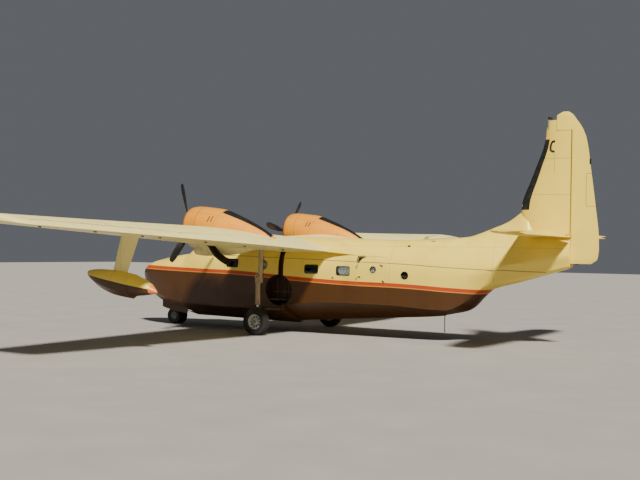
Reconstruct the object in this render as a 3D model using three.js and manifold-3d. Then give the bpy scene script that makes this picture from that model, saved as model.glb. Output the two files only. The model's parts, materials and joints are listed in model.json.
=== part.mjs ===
// Twin-engined flying boat that also lands on wheels, parked on its gear.
// Millimetres. +X is forward, +Y is to port, +Z is up; z = 0 is the ground under the wheels.
import * as THREE from "three";
import { mergeVertices } from "three/addons/utils/BufferGeometryUtils.js";
import Module from "manifold-3d";

const wasm = await Module();
wasm.setup();

// Driving dimensions of the whole aircraft
const LENGTH = 19160;
const SPAN = 29460;
const HEIGHT = 7870;
const WHEEL_TRACK = 5380;
const TAIL_SPAN = 9450;
const SEAT_GAP = 0.4;
const SIDES = [["port", 1], ["starboard", -1]];

// Hull
const NOSE_X = LENGTH / 2;
const BOW_JOINT_X = 6900;
const DECK_JOINT_X = 4600;
const AFT_JOINT_X = -400;
const TAIL_JOINT_X = -4950;
const STEP_X = 1790;
const DECK_WALL = 45;
const DECK_FLOOR_Z = 1900;
const GLASS_THICKNESS = 12;
const HULL_WALL = 45;
const CABIN = { front: 4500, floor: 1250, ceiling: 2950, slab: 40, tailEnd: -7900 };

// Wing
const WING_ROOT = { y: 0, lead: 3620, trail: -80, thickness: 0.17 };
const WING_BREAK_Y = 5500;
const WING_TIP = { y: 14400, lead: 3090, trail: 890, thickness: 0.12 };
const TRAIL_Z_AT_SIDE = 3090;
const HULL_SIDE_Y = 1300;
const DIHEDRAL_SLOPE = 0.046;
const INCIDENCE = THREE.MathUtils.degToRad(5);
const WING_CAMBER = 0.022;
const TRAIL_EDGE = 14;

// Power units
const ENGINE_Y = 3370;
const THRUST_Z = 3900;
const FIREWALL_X = 3880;
const COWL_LIP_X = 4480;
const COWL_RADIUS = 770;
const PROP_X = 4650;
const PROP_RADIUS = 1675;
const ENGINE_NOSE_X = 4565;

// Floats
const FLOAT_Y = 9400;

// Tail
const RUDDER_AXIS = { x: -8680, low: 2740, high: 7870 };
const HORN_Z = 7250;
const TAILPLANE_Z = 3780;
const ELEVATOR_AXIS_X = -8080;
const ELEVATOR_DROOP = THREE.MathUtils.degToRad(9);

// Wheels
const MAIN_X = 2090;
const MAIN_Y = WHEEL_TRACK / 2;
const MAIN_TYRE = { radius: 500, width: 350, rim: 262 };
const MAIN_LEG_Y = 2420;
const LEG_X = 2220;
const ARM_X = 1930;
const NOSE_GEAR_X = 7890;
const NOSE_TYRE = { radius: 330, width: 180, rim: 165 };
const NOSE_WHEEL_Y = 190;

// Entry door in the port side of the cabin
const DOOR = { front: -1280, back: -2380, low: 1980, high: 2920, thickness: 60, gap: 8 };
const DOOR_PIN = { x: -1274, y: 1282, radius: 14 };
const LEAF_WIDTH = 110;

const PAINT = {
  cream: { color: 0xe3cf8a, roughness: 0.45, metalness: 0.1 },
  brown: { color: 0x8a4f1c, roughness: 0.45, metalness: 0.1 },
  orange: { color: 0xdd9140, roughness: 0.45, metalness: 0.1 },
  black: { color: 0x17171a, roughness: 0.6, metalness: 0.1 },
  tyre: { color: 0x1b1b1c, roughness: 0.9, metalness: 0 },
  steel: { color: 0x8d8f91, roughness: 0.4, metalness: 0.8 },
  rim: { color: 0xc9cbcb, roughness: 0.45, metalness: 0.5 },
  exhaust: { color: 0x2b211d, roughness: 0.7, metalness: 0.5 },
  glass: { color: 0x5a6a70, roughness: 0.1, metalness: 0 },
  seat: { color: 0x4a4038, roughness: 0.8, metalness: 0 },
};

const aircraft = new THREE.Group();

// Solids and booleans

function toSolid(geometry) {
  const plain = geometry.index ? geometry.toNonIndexed() : geometry.clone();
  plain.deleteAttribute("normal");
  plain.deleteAttribute("uv");
  const merged = mergeVertices(plain, 1e-4);
  const vertProperties = new Float32Array(merged.attributes.position.array);
  const triVerts = new Uint32Array(merged.index.array);
  if (signedVolume(vertProperties, triVerts) < 0) triVerts.reverse();
  return new wasm.Manifold(new wasm.Mesh({ numProp: 3, vertProperties, triVerts }));
}

function signedVolume(points, triangles) {
  let volume = 0;
  for (let i = 0; i < triangles.length; i += 3) {
    const [a, b, c] = [0, 1, 2].map((k) => new THREE.Vector3().fromArray(points, 3 * triangles[i + k]));
    volume += a.dot(b.cross(c)) / 6;
  }
  return volume;
}

function toGeometry(solid) {
  const mesh = solid.getMesh();
  const geometry = new THREE.BufferGeometry();
  geometry.setAttribute("position", new THREE.BufferAttribute(mesh.vertProperties, 3));
  geometry.setIndex(new THREE.BufferAttribute(mesh.triVerts, 1));
  geometry.computeVertexNormals();
  return geometry;
}

function join(...solids) {
  return solids.reduce((sum, solid) => sum.add(solid));
}

function cut(solid, ...tools) {
  return tools.reduce((rest, tool) => rest.subtract(tool), solid);
}

function addPiece(name, solid, paint) {
  const mesh = new THREE.Mesh(toGeometry(solid), new THREE.MeshStandardMaterial(PAINT[paint]));
  mesh.name = name;
  aircraft.add(mesh);
}

// Basic shapes, each already in its place

function block(low, high) {
  const size = high.map((value, k) => value - low[k]);
  const geometry = new THREE.BoxGeometry(...size);
  geometry.translate(...low.map((value, k) => value + size[k] / 2));
  return toSolid(geometry);
}

// A closed skin over rings of points; each end is closed in a zigzag between the ring's two halves
function skin(rings) {
  const count = rings[0].length;
  const index = [];
  for (let r = 0; r + 1 < rings.length; r += 1) {
    for (let k = 0; k < count; k += 1) {
      const a = r * count + k;
      const b = r * count + ((k + 1) % count);
      index.push(a, b, a + count, b, b + count, a + count);
    }
  }
  const last = (rings.length - 1) * count;
  let [low, high] = [0, count - 1];
  while (high - low > 1) {
    const corners = (high + low) % 2 === (count - 1) % 2 ? [low, low + 1, high] : [low, high - 1, high];
    const [a, b, c] = corners;
    index.push(a, c, b, last + a, last + b, last + c);
    if (b === low + 1) low += 1;
    else high -= 1;
  }
  const geometry = new THREE.BufferGeometry();
  const positions = rings.flat().flatMap((point) => point.toArray());
  geometry.setAttribute("position", new THREE.Float32BufferAttribute(positions, 3));
  geometry.setIndex(index);
  return toSolid(geometry);
}

// A ring of points round the line from one place to the next, square to it
function circle(centre, direction, radius, count) {
  const axis = direction.clone().normalize();
  const helper = Math.abs(axis.z) > 0.9 ? new THREE.Vector3(1, 0, 0) : new THREE.Vector3(0, 0, 1);
  const u = new THREE.Vector3().crossVectors(helper, axis).normalize();
  const v = new THREE.Vector3().crossVectors(axis, u);
  return Array.from({ length: count }, (_, k) => {
    const angle = (2 * Math.PI * k) / count;
    return centre
      .clone()
      .addScaledVector(u, radius * Math.cos(angle))
      .addScaledVector(v, radius * Math.sin(angle));
  });
}

// A round bar through the stops [x, y, z, radius]
function bar(stops, count = 12) {
  const points = stops.map(([x, y, z]) => new THREE.Vector3(x, y, z));
  const along = points[points.length - 1].clone().sub(points[0]);
  const rings = stops.map((stop, k) => circle(points[k], along, stop[3], count));
  return skin(rings);
}

// A profile of [along, radius] steps turned round an axis through centre; "x" or "y"
function turned(profile, axis, centre, count = 24, onFlat = false) {
  const grow = onFlat ? 1 / Math.cos(Math.PI / count) : 1;
  const outline = profile.map(([along, radius]) => new THREE.Vector2(radius * grow, along));
  const geometry = new THREE.LatheGeometry([...outline, outline[0]], count, onFlat ? Math.PI / count : 0);
  if (axis === "x") geometry.rotateZ(-Math.PI / 2);
  geometry.translate(...centre);
  return toSolid(geometry);
}

// A side-view or front-view outline pushed through along y or x
function plate(outline, axis, from, to) {
  const ring = (at) =>
    outline.map(([a, z]) => (axis === "y" ? new THREE.Vector3(a, at, z) : new THREE.Vector3(at, a, z)));
  return skin([ring(from), ring(to)]);
}

function roundedOutline(a0, a1, z0, z1, radius, steps = 3) {
  const corners = [[a1, z1, 0], [a0, z1, 1], [a0, z0, 2], [a1, z0, 3]];
  return corners.flatMap(([a, z, turn]) => {
    const ca = a + (a === a1 ? -radius : radius);
    const cz = z + (z === z1 ? -radius : radius);
    return Array.from({ length: steps + 1 }, (_, k) => {
      const angle = (turn + k / steps) * (Math.PI / 2);
      return [ca + radius * Math.cos(angle), cz + radius * Math.sin(angle)];
    });
  });
}

// Hull lines: each row is one station
// x, keel z, chine y, chine z, side y, side z, top z, roundness of the bottom, fullness of the crown
const HULL_LINES = [
  [NOSE_X, 1990, 40, 2010, 60, 2060, 2110, 1, 2],
  [9500, 1840, 210, 1930, 240, 2070, 2270, 1, 2],
  [9380, 1660, 330, 1860, 380, 2080, 2380, 1, 2],
  [9020, 1220, 570, 1650, 650, 2100, 2550, 0.8, 2],
  [8410, 830, 820, 1360, 900, 2130, 2690, 0.4, 2],
  [7600, 620, 1010, 1110, 1090, 2160, 2840, 0.15, 2.1],
  [6790, 430, 1120, 970, 1190, 2200, 2950, 0, 2.2],
  [6420, 425, 1140, 950, 1210, 2220, 3270, 0, 2.5],
  [6040, 420, 1160, 930, 1230, 2240, 3550, 0, 2.6],
  [4700, 395, 1200, 880, 1255, 2300, 3610, 0, 2.4],
  [STEP_X, 350, 1220, 850, 1260, 2300, 3620, 0, 2.3],
  [STEP_X - 1, 440, 1200, 1080, 1260, 2300, 3620, 0, 2.3],
  [-10, 575, 1200, 1240, 1255, 2300, 3600, 0, 2.3],
  [-2400, 735, 1170, 1225, 1215, 2290, 3540, 0, 2.2],
  [-4160, 880, 1050, 1130, 1110, 2250, 3590, 0, 2.1],
  [-4540, 955, 990, 1110, 1070, 2240, 3620, 0.1, 2.05],
  [-5110, 1100, 820, 1330, 1000, 2260, 3680, 0.5, 1.9],
  [-5470, 1480, 720, 1700, 940, 2360, 3790, 0.9, 1.75],
  [-5910, 1850, 660, 2020, 860, 2520, 3960, 1, 1.55],
  [-6460, 2010, 560, 2200, 750, 2660, 4180, 1, 1.3],
  [-6930, 2130, 480, 2310, 660, 2760, 4500, 1, 1.05],
  [-7160, 2200, 440, 2370, 610, 2795, 4490, 1, 1.05],
  [-7400, 2260, 410, 2430, 570, 2830, 3950, 1, 1.4],
  [-7620, 2330, 370, 2490, 530, 2880, 3780, 1, 1.7],
  [-8720, 2660, 190, 2760, 300, 3060, 3700, 1, 1.8],
];
const BOTTOM_STEPS = 2;
const CROWN_STEPS = 5;

function hullRow(x) {
  const next = HULL_LINES.findIndex((row) => row[0] <= x);
  const [a, b] = [HULL_LINES[Math.max(next - 1, 0)], HULL_LINES[next]];
  if (a === b) return a;
  const part = (a[0] - x) / (a[0] - b[0]);
  return a.map((value, k) => value + (b[k] - value) * part);
}

function hullRing(row, grow) {
  const [x, keelZ, chineY, chineZ, sideY, sideZ, topZ, round, fullness] = row;
  const half = [];
  for (let k = 0; k <= BOTTOM_STEPS; k += 1) {
    const part = k / BOTTOM_STEPS;
    const angle = (part * Math.PI) / 2;
    const flatY = chineY * part;
    const flatZ = keelZ + (chineZ - keelZ) * part;
    const roundY = chineY * Math.sin(angle);
    const roundZ = chineZ - (chineZ - keelZ) * Math.cos(angle);
    half.push([flatY + (roundY - flatY) * round, flatZ + (roundZ - flatZ) * round - grow]);
  }
  for (let k = 0; k <= CROWN_STEPS; k += 1) {
    const angle = (k / CROWN_STEPS) * (Math.PI / 2);
    const y = sideY * Math.cos(angle) ** (2 / fullness);
    const z = sideZ + (topZ - sideZ) * Math.sin(angle) ** (2 / fullness);
    half.push([k === CROWN_STEPS ? 0 : y, z + (k > 0 ? grow : 0)]);
  }
  const widened = half.map(([y, z], k) => [k > 0 && y > 0 ? Math.max(y + grow, 1) : 0, z]);
  const other = widened.slice(1, -1).reverse().map(([y, z]) => [-y, z]);
  return [...widened, ...other].map(([y, z]) => new THREE.Vector3(x, y, z));
}

// The hull between two stations; grow moves the whole skin out, and a negative grow moves it in
function hullPiece(front, back, grow = 0, slide = 0) {
  const between = HULL_LINES.filter((row) => row[0] < front && row[0] > back);
  const rows = [hullRow(front), ...between, hullRow(back)];
  const rings = rows.map((row) => hullRing([row[0] + slide, ...row.slice(1)], grow));
  return skin(rings);
}

// Aerofoil points as [share of the chord, height share of the chord], upper side first from the back
const FOIL_STEPS = 7;

function foil(thickness, camber, sharp) {
  const halfAt = (s) =>
    5 * thickness * (0.2969 * Math.sqrt(s) - 0.126 * s - 0.3516 * s ** 2 + 0.2843 * s ** 3 - 0.1036 * s ** 4);
  const camberAt = (s) => camber * 4 * s * (1 - s);
  const stations = Array.from({ length: FOIL_STEPS + 1 }, (_, k) => 1 - Math.cos((k / FOIL_STEPS) * (Math.PI / 2)));
  const upper = stations.map((s) => [s, camberAt(s) + halfAt(s) + sharp * s]).reverse();
  const lower = stations.slice(1).map((s) => [s, camberAt(s) - halfAt(s) - sharp * s]);
  return [...upper, ...lower];
}

function mix(a, b, part) {
  return a + (b - a) * part;
}

function wingChord(y) {
  const part = THREE.MathUtils.clamp((y - WING_BREAK_Y) / (WING_TIP.y - WING_BREAK_Y), 0, 1);
  const lead = mix(WING_ROOT.lead, WING_TIP.lead, part);
  const trail = mix(WING_ROOT.trail, WING_TIP.trail, part);
  const thickness = mix(WING_ROOT.thickness, WING_TIP.thickness, part);
  const trailZ = TRAIL_Z_AT_SIDE + DIHEDRAL_SLOPE * (y - HULL_SIDE_Y);
  return { lead, trail, thickness, trailZ, chord: lead - trail };
}

// One wing section; grow widens it all round, and shrink draws it in at the rounded tip
function wingRing(y, grow = 0, shrink = 1) {
  const { lead, trail, thickness, trailZ } = wingChord(Math.abs(y));
  const middle = mix(trail, lead, 0.45);
  const front = mix(middle, lead, shrink) + grow;
  const back = mix(middle, trail, shrink) - grow;
  const chord = front - back;
  const slope = Math.tan(INCIDENCE);
  const outline = foil(thickness * shrink + (2 * grow) / chord, WING_CAMBER, TRAIL_EDGE / 2 / chord);
  return outline.map(([s, height]) => {
    const x = front - s * chord;
    return new THREE.Vector3(x, y, trailZ + (x - trail) * slope + height * chord);
  });
}

function wingPanel(stations, grow = 0) {
  return skin(stations.map(([y, shrink]) => wingRing(y, grow, shrink)));
}

// Splits a surface at a hinge line: the moving part has a round nose on the hinge axis
// hinge: low and high ends of the axis, nose radius at each, gap round the nose and at the ends
const SPLIT_REACH = 2600;
const NOSE_POINTS = 18;

function splitAtHinge(surface, hinge) {
  const { ends, noses, gap, endGap } = hinge;
  const middle = hinge.middle ?? [];
  const along = ends[1].clone().sub(ends[0]).normalize();
  const aft = new THREE.Vector3(-1, 0, 0).addScaledVector(along, along.x).normalize();
  const across = new THREE.Vector3().crossVectors(along, aft);
  const tool = (extra, grow) => {
    const low = ends[0].clone().addScaledVector(along, -extra);
    const high = ends[1].clone().addScaledVector(along, extra);
    const box = [low, high].map((centre) =>
      [[1, 0], [-1, 0], [-1, 1], [1, 1]].map(([side, back]) =>
        centre.clone()
          .addScaledVector(across, side * SPLIT_REACH)
          .addScaledVector(aft, back * SPLIT_REACH - grow / 2)));
    const nose = [
      circle(low, along, noses[0] + grow, NOSE_POINTS),
      ...middle.map(({ part, nose: radius }) =>
        circle(ends[0].clone().lerp(ends[1], part), along, radius + grow, NOSE_POINTS)),
      circle(high, along, noses[1] + grow, NOSE_POINTS),
    ];
    return join(skin(box), skin(nose));
  };
  return { fixed: cut(surface, tool(endGap, gap)), moving: surface.intersect(tool(0, 0)) };
}

// Short pins on the hinge axis that fill the gap at each end of a moving surface
function hingePins(hinge, radius) {
  const along = hinge.ends[1].clone().sub(hinge.ends[0]).normalize();
  return hinge.ends.map((end, k) => {
    const way = k === 0 ? -1 : 1;
    const near = end.clone().addScaledVector(along, way * SEAT_GAP);
    const far = end.clone().addScaledVector(along, way * (hinge.endGap + radius));
    return bar([[...near.toArray(), radius], [...far.toArray(), radius]], 8);
  });
}

function mirrored(vector, side) {
  return new THREE.Vector3(vector.x, vector.y * side, vector.z);
}

// Wing with its flaps and ailerons
// inboard and outboard y, hinge x at each, gap round the nose and at the ends
const NOSE_SHARE = 0.97;
const WING_HINGES = {
  flap: { inner: 1420, outer: 8860, innerX: 600, outerX: 760, gap: 24, endGap: 20 },
  aileron: { inner: 8960, outer: 14180, innerX: 900, outerX: 1420, gap: 20, endGap: 20 },
};

function sectionMiddle(y, x) {
  const ring = wingRing(y);
  const upper = ring.slice(0, FOIL_STEPS + 1);
  const lower = ring.slice(FOIL_STEPS);
  const heightOn = (points) => {
    for (let k = 0; k + 1 < points.length; k += 1) {
      const [a, b] = [points[k], points[k + 1]];
      if ((a.x - x) * (b.x - x) <= 0) return mix(a.z, b.z, (x - a.x) / (b.x - a.x));
    }
    return 0;
  };
  const [top, bottom] = [heightOn(upper), heightOn(lower)];
  return { z: (top + bottom) / 2, half: (top - bottom) / 2 };
}

function wingHinge(name, side) {
  const { inner, outer, innerX, outerX, gap, endGap } = WING_HINGES[name];
  const sections = [sectionMiddle(inner, innerX), sectionMiddle(outer, outerX)];
  const ends = [
    mirrored(new THREE.Vector3(innerX, inner, sections[0].z), side),
    mirrored(new THREE.Vector3(outerX, outer, sections[1].z), side),
  ];
  const noses = sections.map((section) => section.half * NOSE_SHARE);
  const part = (WING_BREAK_Y - inner) / (outer - inner);
  const breakNose = sectionMiddle(WING_BREAK_Y, mix(innerX, outerX, part)).half * NOSE_SHARE;
  const middle = part > 0 ? [{ part, nose: breakNose }] : [];
  return { ends, noses, gap, endGap, middle };
}

const WING_STATIONS = [[0, 1], [WING_BREAK_Y, 1], [WING_TIP.y, 1], [14620, 0.86], [SPAN / 2, 0.5]];
const wingSolid = wingPanel([...WING_STATIONS.slice(1).reverse().map(([y, s]) => [-y, s]), ...WING_STATIONS]);
const wingGrown = wingPanel(
  [...WING_STATIONS.slice(1).reverse().map(([y, s]) => [-y, s]), ...WING_STATIONS], SEAT_GAP + 0.2);

let fixedWing = wingSolid;
for (const [sideName, side] of SIDES) {
  for (const [name, paint] of [["flap", "cream"], ["aileron", "cream"]]) {
    const hinge = wingHinge(name, side);
    const { moving } = splitAtHinge(wingSolid, hinge);
    fixedWing = join(splitAtHinge(fixedWing, hinge).fixed, ...hingePins(hinge, 30));
    addPiece(`${name}_${sideName}`, moving, paint);
  }
}
const wingBox = (from, to) => block([-3000, from, 2000], [6000, to, 5000]);
addPiece("wing_center", fixedWing.intersect(wingBox(-WING_BREAK_Y, WING_BREAK_Y)), "cream");
for (const [sideName, side] of SIDES) {
  const [from, to] = [WING_BREAK_Y + SEAT_GAP, SPAN].map((y) => y * side).sort((a, b) => a - b);
  addPiece(`wing_outer_${sideName}`, fixedWing.intersect(wingBox(from, to)), "cream");
}

// Hull pieces: bow with the nose gear bay, flight deck shell, centre with wheel wells, aft with the door
const BAY = { front: 8480, back: 7000, half: 430, top: 1560 };
const WELL = { z: 1610, radius: 580, inner: 800, slotX: 1990, slotHalf: 110, slotTop: 3060, slotInner: 1080 };

const bayTool = block([BAY.back, -BAY.half, 0], [BAY.front, BAY.half, BAY.top]);
addPiece("hull_bow", cut(hullPiece(NOSE_X, BOW_JOINT_X + SEAT_GAP), bayTool), "brown");

const cabin = cut(
  hullPiece(6700, 4720, -DECK_WALL, -90),
  block([4000, -2000, 0], [8000, 2000, DECK_FLOOR_Z]),
);
// Flight deck windows: outline corners, then from and to along the push
const WINDSCREEN = [[60, 3030], [650, 3030], [560, 3440], [60, 3470]];
const SIDE_WINDOWS = [
  [6020, 5680, 2930, 3300],
  [5600, 5140, 2900, 3300],
];
const windowTools = SIDES.flatMap(([, side]) => [
  plate(WINDSCREEN.map(([y, z]) => [y * side, z]), "x", 5900, 7200),
  ...SIDE_WINDOWS.map(([front, back, low, high]) =>
    plate(roundedOutline(back, front, low, high, 60), "y", 700 * side, 1500 * side)),
]);
const deckShell = hullPiece(BOW_JOINT_X, DECK_JOINT_X + SEAT_GAP);
addPiece("hull_flight_deck", cut(deckShell, cabin, ...windowTools), "cream");

const glassOuter = hullPiece(6690, 4800, -DECK_WALL - SEAT_GAP, -92);
const glassInner = hullPiece(6790, 4600, -DECK_WALL - GLASS_THICKNESS, -110);
const glassBand = block([4900, -2000, 2850], [6650, 2000, 3520]);
addPiece("flight_deck_glazing", cut(glassOuter, glassInner).intersect(glassBand), "glass");

const wells = SIDES.flatMap(([, side]) => {
  const round = turned([[WELL.inner, 0], [WELL.inner, WELL.radius], [1600, WELL.radius], [1600, 0]],
    "y", [0, 0, 0], 28);
  const placed = round.translate([MAIN_X, 0, WELL.z]);
  const slotY = [WELL.slotInner * side, 1600 * side].sort((a, b) => a - b);
  const slot = block([WELL.slotX - WELL.slotHalf, slotY[0], WELL.z], [WELL.slotX + WELL.slotHalf, slotY[1],
    WELL.slotTop]);
  return [side > 0 ? placed : placed.mirror([0, 1, 0]), slot];
});
// The cabin keeps clear of the wheel wells, the leg slots and the wing above
const cabinCentre = cut(
  hullPiece(CABIN.front, AFT_JOINT_X - 10, -HULL_WALL),
  block([-2000, -2000, 0], [6000, 2000, CABIN.floor]),
  block([-2000, -2000, CABIN.ceiling], [6000, 2000, 5000]),
  ...SIDES.flatMap(([, side]) => [
    [WELL.inner - HULL_WALL, MAIN_X, WELL.radius + HULL_WALL, WELL.z + WELL.radius + HULL_WALL],
    [WELL.slotInner - HULL_WALL, WELL.slotX, WELL.slotHalf + HULL_WALL, CABIN.ceiling],
  ].map(([inner, x, half, top]) => {
    const [low, high] = [inner * side, 1600 * side].sort((a, b) => a - b);
    return block([x - half, low, 0], [x + half, high, top]);
  })),
);
addPiece(
  "hull_center",
  cut(hullPiece(DECK_JOINT_X, AFT_JOINT_X + SEAT_GAP), wingGrown, cabinCentre, ...wells),
  "brown",
);

const doorOutline = (grow) =>
  roundedOutline(DOOR.back - grow, DOOR.front + grow, DOOR.low - grow, DOOR.high + grow, 90 + grow);
const doorway = plate(doorOutline(DOOR.gap), "y", 800, 1600);
const hingeBarrel = (low, high) =>
  bar([[DOOR_PIN.x, DOOR_PIN.y, low, DOOR_PIN.radius], [DOOR_PIN.x, DOOR_PIN.y, high, DOOR_PIN.radius]], 12);
const hingeLeaf = (low, high, front, back) =>
  block([back, DOOR_PIN.y - LEAF_WIDTH, low], [front, DOOR_PIN.y, high]);
const DOOR_HINGES = [2140, 2560];
const frameLeaves = DOOR_HINGES.flatMap((z) => [
  hingeBarrel(z, z + 60),
  hingeLeaf(z, z + 60, DOOR_PIN.x + 40, DOOR_PIN.x),
]);
const doorLeaves = DOOR_HINGES.flatMap((z) => [
  hingeBarrel(z + 60 + SEAT_GAP, z + 120),
  hingeLeaf(z + 60 + SEAT_GAP, z + 120, DOOR_PIN.x, DOOR_PIN.x - 44),
]);
const cabinAft = cut(
  hullPiece(AFT_JOINT_X + 10, TAIL_JOINT_X - 10, -HULL_WALL),
  block([-6000, -2000, CABIN.floor - CABIN.slab], [1000, 2000, CABIN.floor]),
);
const aftHull = cut(hullPiece(AFT_JOINT_X, TAIL_JOINT_X + SEAT_GAP), cabinAft, doorway);
addPiece("hull_aft", join(aftHull, ...frameLeaves), "brown");

const doorShell = cut(
  hullPiece(AFT_JOINT_X, TAIL_JOINT_X),
  hullPiece(AFT_JOINT_X + 10, TAIL_JOINT_X - 10, -DOOR.thickness),
);
addPiece(
  "entry_door",
  join(doorShell.intersect(plate(doorOutline(0), "y", 560, 1600)), ...doorLeaves),
  "cream",
);

// Fin and rudder are one blade, split at the rudder post
// z, leading x, trailing x, thickness share of the chord
const BLADE_ROWS = [
  [2800, -8400, -9330, 0.2],
  [2930, -8200, -9520, 0.17],
  [3250, -7900, -LENGTH / 2, 0.13],
  [3700, -7250, -9570, 0.12],
  [4600, -6940, -9470, 0.11],
  [5800, -7350, -9310, 0.113],
  [6980, -7760, -9130, 0.12],
  [7300, -7790, -9000, 0.12],
  [7600, -7900, -8800, 0.12],
  [7800, -8200, -8640, 0.16],
  [HEIGHT, -8340, -8520, 0.18],
];
const blade = skin(
  BLADE_ROWS.map(([z, lead, trail, thickness]) =>
    foil(thickness, 0, 5 / (lead - trail)).map(([s, side]) =>
      new THREE.Vector3(lead - s * (lead - trail), side * (lead - trail), z))),
);
const rudderHinge = {
  ends: [
    new THREE.Vector3(RUDDER_AXIS.x, 0, RUDDER_AXIS.low),
    new THREE.Vector3(RUDDER_AXIS.x, 0, RUDDER_AXIS.high + 100),
  ],
  noses: [112, 28],
  gap: 18,
  endGap: 400,
};
const hornTool = (grow) => block([-9000, -400, HORN_Z - grow], [-8150 + grow, 400, 8200]);
const bladeParts = splitAtHinge(blade, rudderHinge);
const RUDDER_BRACKETS = [4050, 6500];
const bracketSlots = RUDDER_BRACKETS.map((z) =>
  block([RUDDER_AXIS.x - 70, -300, z - SEAT_GAP], [-8000, 300, z + 24 + SEAT_GAP]));
const bracketPlates = RUDDER_BRACKETS.map((z) =>
  join(
    block([RUDDER_AXIS.x, -26, z], [RUDDER_AXIS.x + 160, 26, z + 24]),
    bar([[RUDDER_AXIS.x, 0, z, 36], [RUDDER_AXIS.x, 0, z + 24, 36]], 12),
  ));
const rudder = cut(
  join(bladeParts.moving, blade.intersect(hornTool(0))),
  ...bracketSlots,
);
addPiece("rudder", rudder, "cream");

// The tail cone ends in a hollow round the rudder's nose
const rudderCove = splitAtHinge(hullPiece(TAIL_JOINT_X, HULL_LINES.at(-1)[0]), { ...rudderHinge, noses: [108, 108] });
const coneGrown = hullPiece(TAIL_JOINT_X + 5, HULL_LINES.at(-1)[0], SEAT_GAP + 0.2);
addPiece("tail_cone", cut(rudderCove.fixed, hullPiece(TAIL_JOINT_X + 10, CABIN.tailEnd, -HULL_WALL)), "cream");
const fin = cut(join(cut(bladeParts.fixed, hornTool(16)), ...bracketPlates), coneGrown);
addPiece("fin", fin, "cream");

// Tailplanes with elevators; y, leading x, trailing x, thickness share, per side
const TAILPLANE_ROWS = [
  [60, -6950, -8780, 0.11],
  [4480, -7530, -8640, 0.1],
  [4640, -7640, -8560, 0.09],
  [TAIL_SPAN / 2, -7840, -8380, 0.08],
];
const bladeGrown = skin(
  BLADE_ROWS.map(([z, lead, trail, thickness]) => {
    const [front, back] = [lead + SEAT_GAP, trail - SEAT_GAP];
    const chord = front - back;
    return foil(thickness + 1.6 / chord, 0, 5 / chord).map(([s, side]) =>
      new THREE.Vector3(front - s * chord, side * chord, z));
  }),
);
// The tailplane's root ends here, so that the rudder can turn beside it
const rudderRoom = block([-9000, -180, TAILPLANE_Z - 200], [RUDDER_AXIS.x + 120, 180, TAILPLANE_Z + 200]);
for (const [sideName, side] of SIDES) {
  const surface = skin(
    TAILPLANE_ROWS.map(([y, lead, trail, thickness]) =>
      foil(thickness, 0, 5 / (lead - trail)).map(([s, up]) =>
        new THREE.Vector3(lead - s * (lead - trail), y * side, TAILPLANE_Z + up * (lead - trail)))),
  );
  const hinge = {
    ends: [
      new THREE.Vector3(ELEVATOR_AXIS_X, 340 * side, TAILPLANE_Z),
      new THREE.Vector3(ELEVATOR_AXIS_X, 4440 * side, TAILPLANE_Z),
    ],
    noses: [74, 44],
    gap: 14,
    endGap: 14,
  };
  const { fixed, moving } = splitAtHinge(surface, hinge);
  const pinned = join(fixed, ...hingePins(hinge, 20));
  addPiece(`tailplane_${sideName}`, cut(pinned, coneGrown, bladeGrown, rudderRoom), "cream");
  const geometry = toGeometry(moving);
  geometry.translate(-ELEVATOR_AXIS_X, 0, -TAILPLANE_Z);
  geometry.rotateY(-ELEVATOR_DROOP);
  geometry.translate(ELEVATOR_AXIS_X, 0, TAILPLANE_Z);
  addPiece(`elevator_${sideName}`, toSolid(geometry), "cream");
}

// Power units: nacelle over and under the wing, cowl ring, radial engine, propeller, exhaust
// x, centre z, half width, top z, bottom z
const NACELLE_ROWS = [
  [FIREWALL_X, THRUST_Z, 735, 4650, 3090],
  [3600, 3880, 725, 4625, 2930],
  [3030, 3800, 670, 4550, 2890],
  [2400, 3700, 560, 4330, 2960],
  [1530, 3520, 380, 3940, 3160],
  [760, 3385, 120, 3490, 3280],
];
// The chin under the cowl ring, with the same columns
const CHIN_ROWS = [
  [4280, 3080, 250, 3260, 2900],
  [3900, 3080, 300, 3300, 2860],
  [3400, 3080, 300, 3300, 2880],
  [2800, 3120, 240, 3300, 2960],
];
const NACELLE_POINTS = 20;

function podRing([x, centreZ, half, top, bottom], y, grow = 0) {
  return Array.from({ length: NACELLE_POINTS }, (_, k) => {
    const angle = (2 * Math.PI * k) / NACELLE_POINTS;
    const lift = Math.sin(angle);
    const height = (lift > 0 ? top - centreZ : centreZ - bottom) + grow;
    return new THREE.Vector3(x, y + (half + grow) * Math.cos(angle), centreZ + height * lift);
  });
}

function pod(rows, y, grow) {
  return skin(rows.map((row) => podRing(row, y, grow)));
}

const CYLINDERS = 9;
// Blade sections: distance from the hub, chord, thickness, pitch in degrees
const BLADE_SECTIONS = [
  [60, 110, 100, 60],
  [260, 130, 84, 56],
  [480, 230, 52, 46],
  [900, 300, 34, 32],
  [1350, 290, 22, 24],
  [1600, 220, 14, 20],
  [PROP_RADIUS, 90, 8, 19],
];
// Angle of the first blade from upright, towards port
const PROP_TURN = { port: 18.5, starboard: -39 };

function propBlade(hubX, hubY, turn) {
  const out = new THREE.Vector3(0, Math.sin(turn), Math.cos(turn));
  const wide = new THREE.Vector3(0, Math.cos(turn), -Math.sin(turn));
  const hub = new THREE.Vector3(hubX, hubY, THRUST_Z);
  const rings = BLADE_SECTIONS.map(([distance, chord, thickness, pitch]) => {
    const angle = THREE.MathUtils.degToRad(pitch);
    return Array.from({ length: 8 }, (_, k) => {
      const around = (2 * Math.PI * k) / 8;
      const [c, t] = [(chord / 2) * Math.cos(around), (thickness / 2) * Math.sin(around)];
      return hub.clone()
        .addScaledVector(out, distance)
        .addScaledVector(wide, c * Math.cos(angle) - t * Math.sin(angle))
        .add(new THREE.Vector3(-c * Math.sin(angle) - t * Math.cos(angle), 0, 0));
    });
  });
  return skin(rings);
}

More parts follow.
